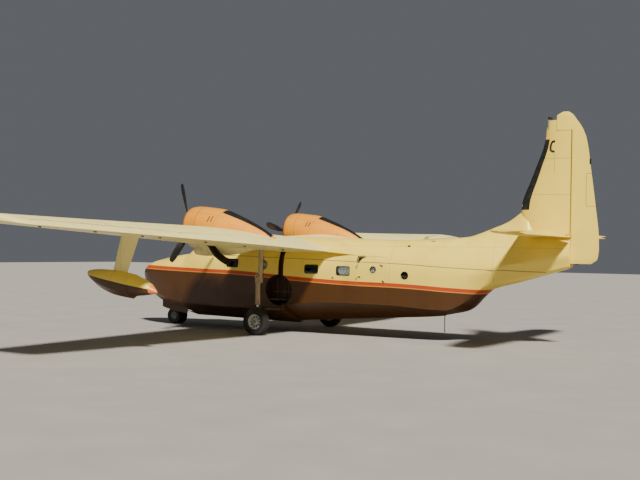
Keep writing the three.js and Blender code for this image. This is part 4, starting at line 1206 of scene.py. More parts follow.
class FB_OT_boots(Part, bpy.types.Operator):
    """Black rubber boots on the leading edges of wing, fin and tailplane"""

    bl_idname = "flying_boat.boots"
    bl_label = "Leading edge boots"

    def build(self, s):
        bands = []
        for _, side in SIDES:
            stations = places(4.35, 14.3, 0.5, WING_BREAK_Y)
            bands.append(loft([band_ring(self.wing_edge(y, side, s.boot_share)) for y in stations]))
            stations = places(0.9, 4.45, 0.4)
            rings = [self.foil_edge(TAILPLANE, y, s.boot_share, lambda x, up, y=y: Vector((x, y * side,
                TAILPLANE_Z + up))) for y in stations]
            bands.append(loft([band_ring(ring) for ring in rings]))
        rings = [self.foil_edge(BLADE, z, s.fin_boot_share, lambda x, out, z=z: Vector((x, out, z)))
            for z in places(4.6, 6.96, 0.3, 5.8)]
        bands.append(loft([band_ring(ring) for ring in rings]))
        fit("leading_edge_boots", bands, "propeller_black", boot_rubber())

    def wing_edge(self, y, side, share):
        section = WingSection(y)
        ring = [section.point(section.front - section.chord * share * k * k, k < 0) for k in EDGE_STEPS]
        return [Vector((p.x, y * side, p.z)) for p in ring]

    def foil_edge(self, table, place, share, at):
        """Points round the leading edge of fin or tailplane; at places them from x and height."""
        lead, trail, thickness = table.at(place)
        chord = lead - trail
        ring = []
        for k in EDGE_STEPS:
            up = foil_height(share * k * k, thickness)[0] * chord
            ring.append(at(lead - share * k * k * chord, up if k < 0 else -up))
        return ring


TAILPLANE = Lines(TAILPLANE_ROWS)
BLADE = Lines(BLADE_ROWS)


class FB_OT_tail(Part, bpy.types.Operator):
    """Fin, rudder with its horn, tailplane and elevators"""

    bl_idname = "flying_boat.tail"
    bl_label = "Tail"

    def blade_ring(self, z, moving, whole=False):
        lead, trail, thickness = BLADE.at(z)
        heights = flat_foil(lead, trail, thickness)
        outline = whole_outline(lead, trail, heights)
        if not whole:
            low, low_radius, high, high_radius = RUDDER_NOSE
            nose = mix(low_radius, high_radius, (z - low) / (high - low))
            radius = min(nose, heights(RUDDER_X)[0] * HINGE_NOSE) if moving else nose + RUDDER_GAP
            outline = split_outline(lead, trail, heights, (RUDDER_X, 0), radius, moving)
        return [(x, y, z) for x, y in outline]

    def build(self, s):
        fin_places = places(3.25, HORN_Z - 0.016, 0.25, 3.7, 4.6, 5.8, 6.98)
        fin = [loft([self.blade_ring(z, False) for z in fin_places])]
        horn_low = HORN_Z - 0.016
        post = loft([self.blade_ring(z, False, True) for z in (horn_low, 7.4, 7.52, 7.6)])
        carve(post, slab((-10, -1, 7), (HORN_FRONT_X + 0.016, 1, 8), 0))
        fin.append(post)
        fit("fin_skin", fin, "cream_paint", tail_paint(), "fin")
        rudder_places = places(2.8, HORN_Z, 0.22, 2.93, 3.25, 3.7, 4.6)
        rudder = [loft([self.blade_ring(z, True) for z in rudder_places])]
        horn = loft([self.blade_ring(z, True, True) for z in (HORN_Z, 7.3, 7.4, 7.5, 7.6, 7.68, 7.74, 7.79,
            7.83, 7.855, 7.87)])
        carve(horn, slab((HORN_FRONT_X, -1, 7), (-7, 1, 8), 0))
        rudder.append(horn)
        fit("rudder_skin", rudder, "cream_paint", tail_paint(), "rudder", body="rudder")
        for name, side in SIDES:
            self.tailplane(name, side)

    def tail_ring(self, y, side, moving, whole=False):
        lead, trail, thickness = TAILPLANE.at(y)
        heights = flat_foil(lead, trail, thickness)
        part = (y - ELEVATOR_SPAN[0]) / (ELEVATOR_SPAN[1] - ELEVATOR_SPAN[0])
        nose = min(mix(*ELEVATOR_NOSES, min(max(part, 0), 1)), heights(ELEVATOR_X)[0] * HINGE_NOSE)
        outline = whole_outline(lead, trail, heights)
        if not whole:
            radius = nose if moving else nose + ELEVATOR_GAP
            outline = split_outline(lead, trail, heights, (ELEVATOR_X, 0), radius, moving)
        return [(x, y * side, TAILPLANE_Z + z) for x, z in outline]

    def tailplane(self, name, side):
        low, high = ELEVATOR_SPAN[0] - 0.014, ELEVATOR_SPAN[1] + 0.014
        root = loft([self.tail_ring(y, side, False, True) for y in (0.06, low)])
        back, half = RUDDER_ROOM
        carve(root, slab((back - 1, -half, TAILPLANE_Z - 0.2), (back, half, TAILPLANE_Z + 0.2), 0))
        fixed = [root, loft([self.tail_ring(y, side, False) for y in places(low, high, 0.4)]),
            loft([self.tail_ring(y, side, False, True) for y in (high, 4.48, 4.58, 4.64, 4.69, 4.715,
            4.725)])]
        fit(f"tailplane_{name}_skin", fixed, "cream_paint", tail_paint(), f"tailplane_{name}")
        elevator = loft([self.tail_ring(y, side, True) for y in places(*ELEVATOR_SPAN, 0.4)])
        hinge = Matrix.Translation((ELEVATOR_X, 0, TAILPLANE_Z))
        elevator.data.transform(hinge @ Matrix.Rotation(-ELEVATOR_DROOP, 4, "Y") @ hinge.inverted())
        fit(f"elevator_{name}_skin", [elevator], "cream_paint", tail_paint(), f"elevator_{name}",
            body="elevators")


NACELLE = Lines(NACELLE_ROWS)
CHIN = Lines(CHIN_ROWS)


def pod_ring(x, y, lines=NACELLE, grow=0.0):
    middle, half, top, bottom = lines.at(x)
    ring = []
    for turn in turns(56):
        lift = sin(turn)
        height = (top - middle if lift > 0 else middle - bottom) + grow
        ring.append((x, y + (half + grow) * cos(turn), middle + height * lift))
    return ring


class FB_OT_nacelles(Part, bpy.types.Operator):
    """Nacelles and cowl rings with their scoops, louvres and exhaust pipes"""

    bl_idname = "flying_boat.nacelles"
    bl_label = "Nacelles"

    def build(self, s):
        for name, side in SIDES:
            y = ENGINE_Y * side
            rings = [pod_ring(x, y) for x in places(FIREWALL_X, 0.82, 0.12)]
            rings += [pod_ring(x, y, grow=-shrink) for x, shrink in ((0.79, 0.012), (0.77, 0.035),
                (0.76, 0.07))]
            pod = loft(rings)
            chin = loft([pod_ring(x, y, CHIN) for x in places(4.28, 2.8, 0.1)])
            mouth = spun([(0, 0.11), (0.5, 0.1)], facing((4.3, y, 3.075), (-1, 0, 0)), 32)
            mouth.data.transform(Matrix.Translation((0, y, 0)) @ Matrix.Diagonal((1, 1.7, 1, 1))
                @ Matrix.Translation((0, -y, 0)))
            carve(chin, mouth)
            fit(f"nacelle_{name}_skin", [pod, chin], "orange_paint", nacelle_paint(), f"nacelle_{name}")
            ring = [(0.0, 0.742), (0.37, 0.735), (0.5, 0.69), (0.55, 0.655), (0.58, 0.645), (0.6, 0.655),
                (0.59, 0.69), (0.55, 0.728), (0.47, 0.754), (0.36, 0.766), (0.24, 0.77), (0.1, 0.767),
                (0.0, 0.762)]
            cowl = lathe(ring, facing((FIREWALL_X, y, THRUST_Z), (1, 0, 0)), 96)
            fit(f"cowl_{name}_skin", [cowl], "orange_paint", nacelle_paint(), f"cowl_{name}")
            self.exhaust(name, side)

    def exhaust(self, name, side):
        y = ENGINE_Y * side + 0.52 * side
        stops = curved([(x, y, z) for x, z, _ in EXHAUST_STOPS], 6)
        stages = [k / 6 for k in range(len(stops))]
        outer = [float(np.interp(k, range(len(EXHAUST_STOPS)), [r for *_, r in EXHAUST_STOPS]))
            for k in stages]
        pipe = tube(stops, outer, 32)
        reach = stops[-1] + (stops[-1] - stops[-2]) * 0.4
        bore = tube(stops[6:] + [reach], [r - EXHAUST_WALL for r in outer[6:]] + [outer[-1] - EXHAUST_WALL],
            32)
        carve(pipe, bore)
        pipe = gather("pipe", [pipe, *[self.band(stops[k], stops[k + 1], outer[k]) for k in (5, 13, 20)]])
        fit(f"exhaust_{name}_pipe", [pipe], "exhaust_metal", sooty_metal(), f"exhaust_{name}")

    def band(self, at, toward, radius):
        profile = [(-0.012, radius - 0.004), (-0.012, radius + 0.006), (0.012, radius + 0.006),
            (0.012, radius - 0.004)]
        return lathe(profile, facing(at, toward - at), 32)


class FB_OT_engines(Part, bpy.types.Operator):
    """Radial engines with finned cylinders, rocker boxes, pushrods and ignition ring"""

    bl_idname = "flying_boat.engines"
    bl_label = "Engines"

    def build(self, s):
        for name, side in SIDES:
            y = ENGINE_Y * side
            middle = Vector((4.12, y, THRUST_Z))
            case = spun([(0, 0.3), (0.16, 0.3), (0.18, 0.27), (0.34, 0.27), (0.37, 0.235), (0.42, 0.215),
                (0.47, 0.2), (0.53, 0.165), (0.6, 0.13), (0.64, 0.115), (0.66, 0.09), (0.685, 0.085)],
                facing((FIREWALL_X + 0.001, y, THRUST_Z), (1, 0, 0)), 54)
            metal, dark = [case], []
            metal.append(tube([middle + Vector((0.28, 0.31 * cos(t), 0.31 * sin(t))) for t in np.linspace(0,
                2 * pi, 49)], 0.016, 10))
            for turn in turns(CYLINDERS):
                out, side_way = spokes(turn)
                profile = [(0.2, 0), (0.2, 0.088)]
                for fin in range(20):
                    at = 0.27 + fin * 0.0175
                    wide = 0.108 if fin < 12 else 0.118
                    profile += [(at, 0.086), (at, wide), (at + 0.005, wide), (at + 0.005, 0.086)]
                profile += [(0.64, 0.09), (0.66, 0.06), (0.66, 0)]
                metal.append(lathe(profile, facing(middle, out), 24))
                for way in (1, -1):
                    box_at = middle + out * 0.655 + side_way * (0.065 * way) + AHEAD * 0.02
                    placing = facing(box_at, out)
                    metal.append(slab((-0.036, -0.03, -0.03), (0.036, 0.03, 0.03), 0.012, placing))
                    rod = [middle + AHEAD * 0.13 + out * 0.27 + side_way * (0.04 * way),
                        box_at + AHEAD * 0.06 - out * 0.02]
                    dark.append(tube(rod, 0.011, 10))
                lead_at = middle + AHEAD * 0.28 + out * 0.3
                dark.append(tube(curved([lead_at, lead_at + out * 0.12 + side_way * 0.05,
                    middle + out * 0.56 + side_way * 0.1 + AHEAD * 0.09], 6), 0.006, 6))
            fit(f"engine_{name}_block", metal, "engine_metal", bare_metal("engine casting",
                (0.32, 0.32, 0.33), 0.45), f"engine_{name}")
            fit(f"engine_{name}_rods", dark, "propeller_black", black_paint())


BLADES = Lines(BLADE_SECTIONS)


class FB_OT_propellers(Part, bpy.types.Operator):
    """Three-bladed propellers with twisted blades, clamps and a domed hub"""

    bl_idname = "flying_boat.propellers"
    bl_label = "Propellers"

    def blade(self, hub, turn):
        out, wide = spokes(turn)
        rings = []
        for distance in places(0.06, 1.6, 0.07) + [1.63, 1.655, 1.668, 1.675]:
            chord, thickness, pitch = BLADES.at(distance)
            angle = radians(pitch)
            ring = []
            for around in turns(24):
                c, t = chord / 2 * cos(around), thickness / 2 * sin(around)
                ring.append(hub + out * distance + wide * (c * cos(angle) - t * sin(angle))
                    - Vector((c * sin(angle) + t * cos(angle), 0, 0)))
            rings.append(ring)
        return loft(rings)

    def build(self, s):
        for name, side in SIDES:
            hub = Vector((PROP_X, ENGINE_Y * side, THRUST_Z))
            body = f"propeller_{name}"
            blades, metal = [], []
            for k in range(3):
                turn = radians(PROP_TURN[name] + 120 * k)
                blades.append(self.blade(hub, turn))
                metal.append(spun([(0.09, 0.075), (0.12, 0.085), (0.2, 0.085), (0.215, 0.078),
                    (0.24, 0.078), (0.25, 0.06)], facing(hub, spokes(turn)[0]), 32))
            metal.append(spun([(-0.08, 0.08), (-0.05, 0.12), (0.05, 0.125), (0.07, 0.1), (0.09, 0.082),
                (0.15, 0.08), (0.175, 0.066), (0.19, 0.05), (0.2, 0.03)], facing(hub, (1, 0, 0)), 40))
            fit(f"{body}_blades", blades, "propeller_black", black_paint(), body, body=body)
            fit(f"{body}_hub", metal, "engine_metal", bare_metal("hub metal", (0.28, 0.28, 0.29)), body=body)


FLOAT_PARTS = [Lines(FLOAT_ROWS), Lines(FLOAT_STERN_ROWS)]


def float_lines(x):
    part = FLOAT_PARTS[0] if x >= FLOAT_STEP_X else FLOAT_PARTS[1]
    return (*part.at(x), 0.0, 2.1)


class FB_OT_floats(Part, bpy.types.Operator):
    """Wing floats with their pylons"""

    bl_idname = "flying_boat.floats"
    bl_label = "Floats"

    def build(self, s):
        for name, side in SIDES:
            y = FLOAT_Y * side
            bow = [3.94, 3.92, 3.88] + places(3.84, FLOAT_STEP_X, 0.1)
            stern = places(FLOAT_STERN_ROWS[0][0], 1.2, 0.1) + [1.17, 1.15, 1.14]
            skins = [loft([hull_ring(x, 0, float_lines, y) for x in run]) for run in (bow, stern)]
            fit(f"float_{name}_skin", skins, "float_paint", float_paint(), f"float_{name}")
            rings = []
            for k in range(9):
                z, lead, trail = (mix(a, b, k / 8) for a, b in zip(*PYLON_ROWS))
                outline = whole_outline(lead, trail, flat_foil(lead, trail, 0.16, 0.002))
                rings.append([(x, y + across, z) for x, across in outline])
            fit(f"float_pylon_{name}_skin", [loft(rings)], "cream_paint", wing_paint(), f"float_pylon_{name}")


class FB_OT_glazing(Part, bpy.types.Operator):
    """Window glass with frames, seals and curtains, and the windscreen wipers"""

    bl_idname = "flying_boat.glazing"
    bl_label = "Windows"

    def build(self, s):
        deck_glass, cabin_glass, frames, seals, rails = [], [], [], [], []

        def keep(pieces, glass):
            for piece, pile in zip(pieces, (glass, frames, seals)):
                pile.append(piece)
        for side in (1, -1):
            keep(opening_pieces([(y * side, z) for y, z in WINDSCREEN_PANE], side, "x"), deck_glass)
            for window in DECK_SIDE_WINDOWS:
                keep(opening_pieces(rounded_outline(*window), side), deck_glass)
        for _, x, z, half_x, half_z, corner, sides in CABIN_WINDOWS:
            for side in sides:
                keep(opening_pieces(rounded_outline(x, z, half_x, half_z, corner), side), cabin_glass)
        for window, back, front, low, high in CURTAINS:
            sides = next(row[6] for row in CABIN_WINDOWS if row[0] == window)
            for side in sides:
                side_name = "port" if side > 0 else "starboard"
                rails.append(curtain(f"curtain_{window}_{side_name}", back, front, low, high, side, AIRFRAME))
        fit("flight_deck_panes", deck_glass, "glazing", clear_glass(), "flight_deck_glazing")
        fit("cabin_panes", cabin_glass, "glazing", clear_glass())
        fit("window_frames", frames, "cream_paint", hull_paint())
        fit("window_seals", seals, "propeller_black", boot_rubber())
        fit("curtain_rails", rails, "engine_metal", bare_metal("rail metal", (0.4, 0.4, 0.4)))
        wipers = []
        for side in (1, -1):
            arm = [(6.76, 0.3), (6.68, 0.33), (6.5, 0.4), (6.32, 0.45)]
            arm = [(x, y * side, self.crown(x, y) + 0.014) for x, y in arm]
            blade = [(x, y * side, self.crown(x, y) + 0.008) for x, y in ((6.5, 0.3), (6.38, 0.42),
                (6.24, 0.52))]
            wipers += [tube(curved(arm, 4), 0.006, 8), tube(curved(blade, 4), 0.009, 8)]
            wipers.append(spun([(-0.02, 0.022), (0.012, 0.02), (0.02, 0.012)], facing(arm[0], (0.3, 0, 1)),
                20))
        fit("windscreen_wipers", wipers, "propeller_black", black_paint())

    def crown(self, x, y):
        """Height of the hull's crown at x and y."""
        _, _, _, side_y, side_z, top, _, fullness = hull_lines(x)
        across = (y / side_y) ** (fullness / 2)
        return mix(side_z, top, sqrt(max(1 - across**2, 0)) ** (2 / fullness))


class FB_OT_door(Part, bpy.types.Operator):
    """Entry door with its round window, handle, latches and hinges"""

    bl_idname = "flying_boat.door"
    bl_label = "Entry door"

    def build(self, s):
        door = patch(rounded_outline(*door_shape()), 1, 0, DOOR["thickness"])
        handle_at = hull_point(-2.24, 2.59, 1)
        cup = spun([(-0.022, 0.045), (0.1, 0.06)], facing(handle_at, (0, 1, 0)), 32)
        carve(door, window_tool(*DOOR_WINDOW, 1), cup)
        fit("entry_door_skin", [door], "hull_paint", hull_paint(), "entry_door", body="entry_door")
        glass, frame, seal = opening_pieces(rounded_outline(*DOOR_WINDOW), 1)
        fit("entry_door_pane", [glass], "glazing", clear_glass(), body="entry_door")
        fit("entry_door_frame", [frame], "cream_paint", hull_paint(), body="entry_door")
        lever = [handle_at + Vector(step) for step in ((0, -0.018, 0), (0, 0.006, 0), (0.025, 0.016, 0.02),
            (0.06, 0.018, 0.06))]
        metal = [seal, tube(curved(lever, 4), [0.016] * 4 + [0.014] * 9, 12)]
        for x, z, turn in ((-1.35, 2.19, -20), (-2.29, 2.05, -30)):
            placing = facing(hull_point(x, z, 1), (0, 1, 0.06)) @ Matrix.Rotation(radians(turn), 4, "Z")
            metal.append(slab((-0.05, -0.024, -0.004), (0.05, 0.024, 0.01), 0.008, placing))
        metal.append(patch(DOOR_DARK_PLATE_ON_DOOR, 1, -0.01, 0.008))
        rail = [hull_point(x, RAIL.at(x)[0], 1, 0.001) for x in places(-1.33, -2.36, 0.2)]
        fit("entry_door_rail", [tube(rail, RAIL_RADIUS, 10)], "cream_paint", shaded_rail_paint(), body="entry_door")
        metal.append(curtain("curtain_door_port", *DOOR_CURTAIN, 1, "entry_door"))
        fit("entry_door_fittings", metal, "propeller_black", black_paint(), body="entry_door")
        fixed, moving = [], []
        x, y = DOOR_PIN
        for low in DOOR_HINGES:
            for pile, start, end, front, back in ((fixed, low, low + 0.06, x + 0.04, x),
                    (moving, low + 0.0606, low + 0.12, x, x - 0.044)):
                knuckle = [(start, 0), (start, 0.011), (start + 0.003, 0.0138), (end - 0.003, 0.0138),
                    (end, 0.011), (end, 0)]
                pile.append(lathe(knuckle, facing((x, y, 0)), 24))
                pile.append(slab((back, y - 0.1, start + 0.002), (front, y - 0.002, end - 0.002), 0.004))
        fit("door_frame_hinges", fixed, "cream_paint", hull_paint())
        fit("entry_door_hinges", moving, "cream_paint", hull_paint(), body="entry_door")


class FB_OT_wells(Part, bpy.types.Operator):
    """Linings, ribs and pipes of the wheel wells, the leg slots and the nose gear bay"""

    bl_idname = "flying_boat.wells"
    bl_label = "Wells and bay"

    def build(self, s):
        linings, ribs = [], []
        wall = WELL["wall"]
        for _, side in SIDES:
            lining = well_cup(side, WELL["inner"] - wall, wall)
            carve(lining, well_slot(side, WELL["slot_inner"] - wall, wall), operation="UNION")
            carve(lining, well_cup(side, WELL["inner"], 0), well_slot(side, WELL["slot_inner"], 0))
            linings.append(carve(lining, hull_loft(2.9, 1.3, 0.002), operation="INTERSECT"))
            low, high = sorted((WELL["inner"] * side, (WELL["inner"] + 0.06) * side))
            for x in (1.86, 2.36):
                ribs.append(slab((x - 0.03, low, 1.12), (x + 0.03, high, 2.1), 0.012))
            ribs.append(slab((1.6, low, 1.5), (2.58, (low + high) / 2 + 0.015 * side, 1.56), 0.008))
            rest = [(1.97, 0.84, 1.86), (1.95, 0.98, 1.42), (1.99, 1.2, 1.0)]
            ribs.append(tube(curved([(x, y * side, z) for x, y, z in rest], 6), 0.018, 12))
        fit("wheel_well_linings", linings, "gear_brown", enamel("well lining", (0.045, 0.014, 0.008), 0.5,
            0.6))
        for x in (7.3, 7.62, 8.24):
            half, top = BAY["half"], BAY["top"]
            for side in (1, -1):
                ribs.append(slab((x - 0.02, half * side, hull_lines(x)[0] + 0.25),
                    (x + 0.02, (half - 0.025) * side, top), 0.006))
            ribs.append(slab((x - 0.02, -half, top - 0.03), (x + 0.02, half, top), 0.006))
        for y in (-0.3, 0.3):
            ribs.append(tube([(7.02, y, 1.5), (8.46, y, 1.52)], 0.012, 10))
        fit("well_ribs", ribs, "gear_brown", enamel("rib paint", (0.09, 0.05, 0.035), 0.5, 0.5))


def tyre_outline(radius, width, rim, grooves):
    """A tyre's section as (across, radius), round shouldered, with grooves round the tread."""
    half = width / 2
    outer = [(0.62, 0.002), (0.8, 0.06), (0.94, 0.26), (1.0, 0.5), (0.985, 0.66), (0.93, 0.8), (0.84, 0.9),
        (0.72, 0.955)]
    side = [(half * a, rim + (radius - rim) * r) for a, r in outer]
    tread = []
    for place in sorted(grooves, reverse=True):
        deep = 0.008
        crown = radius - 0.03 * (radius - rim) * (place / half) ** 2 * 2
        tread += [(place + 0.007, crown), (place + 0.005, crown - deep), (place - 0.005, crown - deep),
            (place - 0.007, crown)]
    right = side + tread + [(0.012, radius)]
    return right + [(-a, r) for a, r in reversed(right)]


def bolts(placing, along, ring, count, radius=0.008, height=0.012):
    """Bolt heads round a placing's Z."""
    heads = []
    for turn in turns(count):
        at = placing @ Matrix.Translation((ring * cos(turn), ring * sin(turn), along))
        heads.append(spun([(-0.004, radius), (height * 0.7, radius), (height, radius * 0.7)], at, 6))
    return heads


class FB_OT_main_gear(Part, bpy.types.Operator):
    """Main legs with their arms, links, brakes and pipes, and the slotted wheels with grooved tyres"""

    bl_idname = "flying_boat.main_gear"
    bl_label = "Main landing gear"

    def build(self, s):
        for name, side in SIDES:
            self.leg(name, side)
            self.arm(name, side)
            self.wheel(name, side)

    def leg(self, name, side):
        y, axle_z = MAIN_LEG_Y * side, MAIN_TYRE["radius"]
        upright = facing((LEG_X, y, 0))
        barrel = [(1.1, 0), (1.1, 0.08), (1.112, 0.098), (1.17, 0.098), (1.18, 0.09), (1.5, 0.088),
            (1.51, 0.094), (1.54, 0.094), (1.55, 0.088), (1.84, 0.09), (1.86, 0.098), (1.93, 0.098),
            (1.94, 0.09), (1.94, 0)]
        cream = [lathe(barrel, upright, 40)]
        knuckle = pushed([(2.07, 1.93), (2.09, 1.9), (2.27, 1.9), (2.29, 1.93), (2.29, 2.02), (2.25, 2.09),
            (2.18, 2.13), (2.1, 2.13), (2.07, 2.09)], y - 0.09, y + 0.09)
        cream.append(knuckle)
        top = Vector((LEG_X - 0.09, y, 2.08))
        head = Vector((LEG_X - 0.13, y, 3.4))
        strut = [(0, 0.05), (0.05, 0.07), (0.12, 0.088), (0.3, 0.09), (0.9, 0.09), (1.32, 0.09)]
        cream.append(tube([top + (head - top).normalized() * d for d, _ in strut], [r for _, r in strut],
            28))
        for way in (1, -1):
            lug = [(2.13, 2.02), (2.25, 2.02), (2.3, 2.09), (2.29, 2.17), (2.22, 2.22), (2.14, 2.19),
                (2.1, 2.1)]
            cream.append(pushed(lug, y + way * 0.07, y + way * 0.1))
        brown = [slab((MAIN_X - 0.06, y - 0.06, 0.43), (LEG_X + 0.04, y + 0.06, 0.57), 0.025)]
        inner = (MAIN_X, y, axle_z)
        hub_end = (MAIN_Y - 0.1504) * side
        brown.append(tube([inner, (MAIN_X, (MAIN_Y + 0.12) * side, axle_z)], 0.04, 28))
        brown.append(tube([inner, (MAIN_X, hub_end, axle_z)], 0.072, 28))
        # The brake is dark iron, made dark enough to also stand for the shade seen through the wheel's slots.
        brake = [(-0.165, 0.06), (-0.165, 0.17), (-0.15, 0.19), (-0.03, 0.2), (-0.03, 0.12),
            (-0.145, 0.105), (-0.152, 0.095), (-0.152, 0.06)]
        axle_way = facing((MAIN_X, MAIN_Y * side, axle_z), (0, side, 0))
        dark = [lathe(brake, axle_way, 48), *bolts(axle_way @ Matrix.Rotation(pi, 4, "X"), 0.165, 0.14, 10)]
        for profile in ([(2.31, 1.17), (2.43, 0.9), (2.42, 0.86), (2.38, 0.86), (2.27, 1.06), (2.27, 1.17)],
                [(2.38, 0.9), (2.42, 0.9), (2.43, 0.86), (2.27, 0.5), (2.22, 0.5), (2.24, 0.58)]):
            for way in (1, -1):
                brown.append(pushed(profile, y + way * 0.035 - 0.009, y + way * 0.035 + 0.009))
        brown.append(tube([(2.405, y - 0.06, 0.88), (2.405, y + 0.06, 0.88)], 0.013, 14))
        dark.append(tube([(2.2, y - 0.12, 2.12), (2.2, y + 0.12, 2.12)], 0.024, 18))
        pipe = [(MAIN_X, y - 0.09 * side, 0.6), (2.1, y - 0.12 * side, 0.72), (2.12, y - 0.115 * side, 1.1),
            (2.12, y - 0.105 * side, 1.6), (2.1, y - 0.11 * side, 1.95), (2.06, y - 0.1 * side, 2.3),
            (2.03, y - 0.075 * side, 2.9)]
        dark.append(tube(curved(pipe, 6), 0.009, 10))
        fit(f"main_leg_{name}_strut", cream, "gear_paint", shaded_gear_cream(), f"main_leg_{name}")
        fit(f"main_leg_{name}_forging", brown, "gear_brown", gear_brown())
        fit(f"main_leg_{name}_brake", dark, "exhaust_metal", enamel("brake iron darkened as shade", (0.03, 0.028, 0.027), 0.4,
            0.6))
        piston = spun([(0.5, 0.062), (0.7, 0.062), (0.71, 0.052), (1.11, 0.052)], upright, 40)
        fit(f"main_leg_{name}_piston", [piston], "engine_metal", bare_metal("polished piston",
            (0.62, 0.62, 0.62), 0.2))

    def arm(self, name, side):
        y, start = MAIN_LEG_Y * side, Vector((ARM_X, 1.15 * side, 0.91))
        end = Vector((LEG_X, y - 0.07 * side, 0.96))
        stages = [(0.0, 0.07), (0.08, 0.07), (0.1, 0.05), (0.5, 0.047), (0.84, 0.052), (0.86, 0.07),
            (1.0, 0.075)]
        pieces = [tube([start.lerp(end, part) for part, _ in stages], [r for _, r in stages], 24)]
        upright = facing((LEG_X, y, 0))
        pieces.append(lathe([(0.9, 0.0665), (0.9, 0.08), (0.91, 0.084), (1.01, 0.084), (1.02, 0.08),
            (1.02, 0.0665)], upright, 40))
        near = start.lerp(end, 0.8)
        casting = [(-0.13, -0.06), (0.1, -0.08), (0.14, -0.03), (0.14, 0.06), (0.06, 0.1), (-0.08, 0.08),
            (-0.14, 0.02)]
        pieces.append(pushed([(near.x + a, near.z + b) for a, b in casting], near.y - 0.1, near.y + 0.1))
        pieces.append(slab((ARM_X - 0.13, 1.15 * side, 0.84), (ARM_X + 0.13, 1.28 * side, 0.98), 0.02))
        for x in (-0.08, 0.09):
            pieces += bolts(facing((ARM_X + x, 1.28 * side, 0.91), (0, side, 0)), 0, 0, 1, 0.016)
        fit(f"main_arm_{name}_forging", pieces, "gear_brown", gear_brown(), f"main_arm_{name}")

    def wheel(self, name, side):
        body = f"main_wheel_{name}"
        placing = facing((MAIN_X, MAIN_Y * side, MAIN_TYRE["radius"]), (0, side, 0))
        rim = MAIN_TYRE["rim"]
        tyre = lathe(tyre_outline(**MAIN_TYRE, grooves=(0.035, 0.095)), placing, 96)
        fit(f"main_tyre_{name}_rubber", [tyre], "tyre_rubber", tyre_rubber(), f"main_tyre_{name}", body=body)
        section = [(-0.108, rim), (-0.112, rim - 0.01), (-0.108, rim - 0.024), (-0.09, rim - 0.03),
            (0.03, rim - 0.04), (0.034, 0.2), (0.04, 0.13), (0.03, 0.11), (-0.15, 0.09), (-0.15, 0.048),
            (0.108, 0.048), (0.112, 0.07), (0.108, 0.084), (0.085, 0.1), (0.066, 0.12), (0.06, 0.14),
            (0.052, 0.19), (0.058, 0.21), (0.07, rim - 0.03), (0.1, rim - 0.02), (0.118, rim - 0.008),
            (0.13, rim + 0.012), (0.13, rim + 0.024), (0.121, rim + 0.028), (0.108, rim)]
        disc = lathe(section, placing, 80)
        tools = []
        for angle in turns(WHEEL_SLOTS):
            slot = rounded_outline(0.176, 0, 0.05, 0.028, 0.024, 4)
            turn = placing @ Matrix.Rotation(angle, 4, "Z")
            tools.append(loft([[turn @ Vector((a, b, along)) for a, b in slot] for along in (0.0, 0.1)]))
        carve(disc, *tools)
        pieces = [disc, *bolts(placing, 0.084, 0.103, 10, 0.007), *bolts(placing, 0.053, 0.2, 20, 0.006)]
        fit(f"{body}_disc", pieces, "wheel_rim", enamel("wheel paint", (0.5, 0.52, 0.52), 0.3, 0.35), body,
            body=body)
        cap = lathe([(0.104, 0), (0.104, 0.06), (0.125, 0.056), (0.135, 0.04), (0.138, 0)], placing, 40)
        fit(f"{body}_cap", [cap], "wheel_rim", enamel("hub cap paint", (0.25, 0.26, 0.26), 0.4, 0.4),
            body=body)


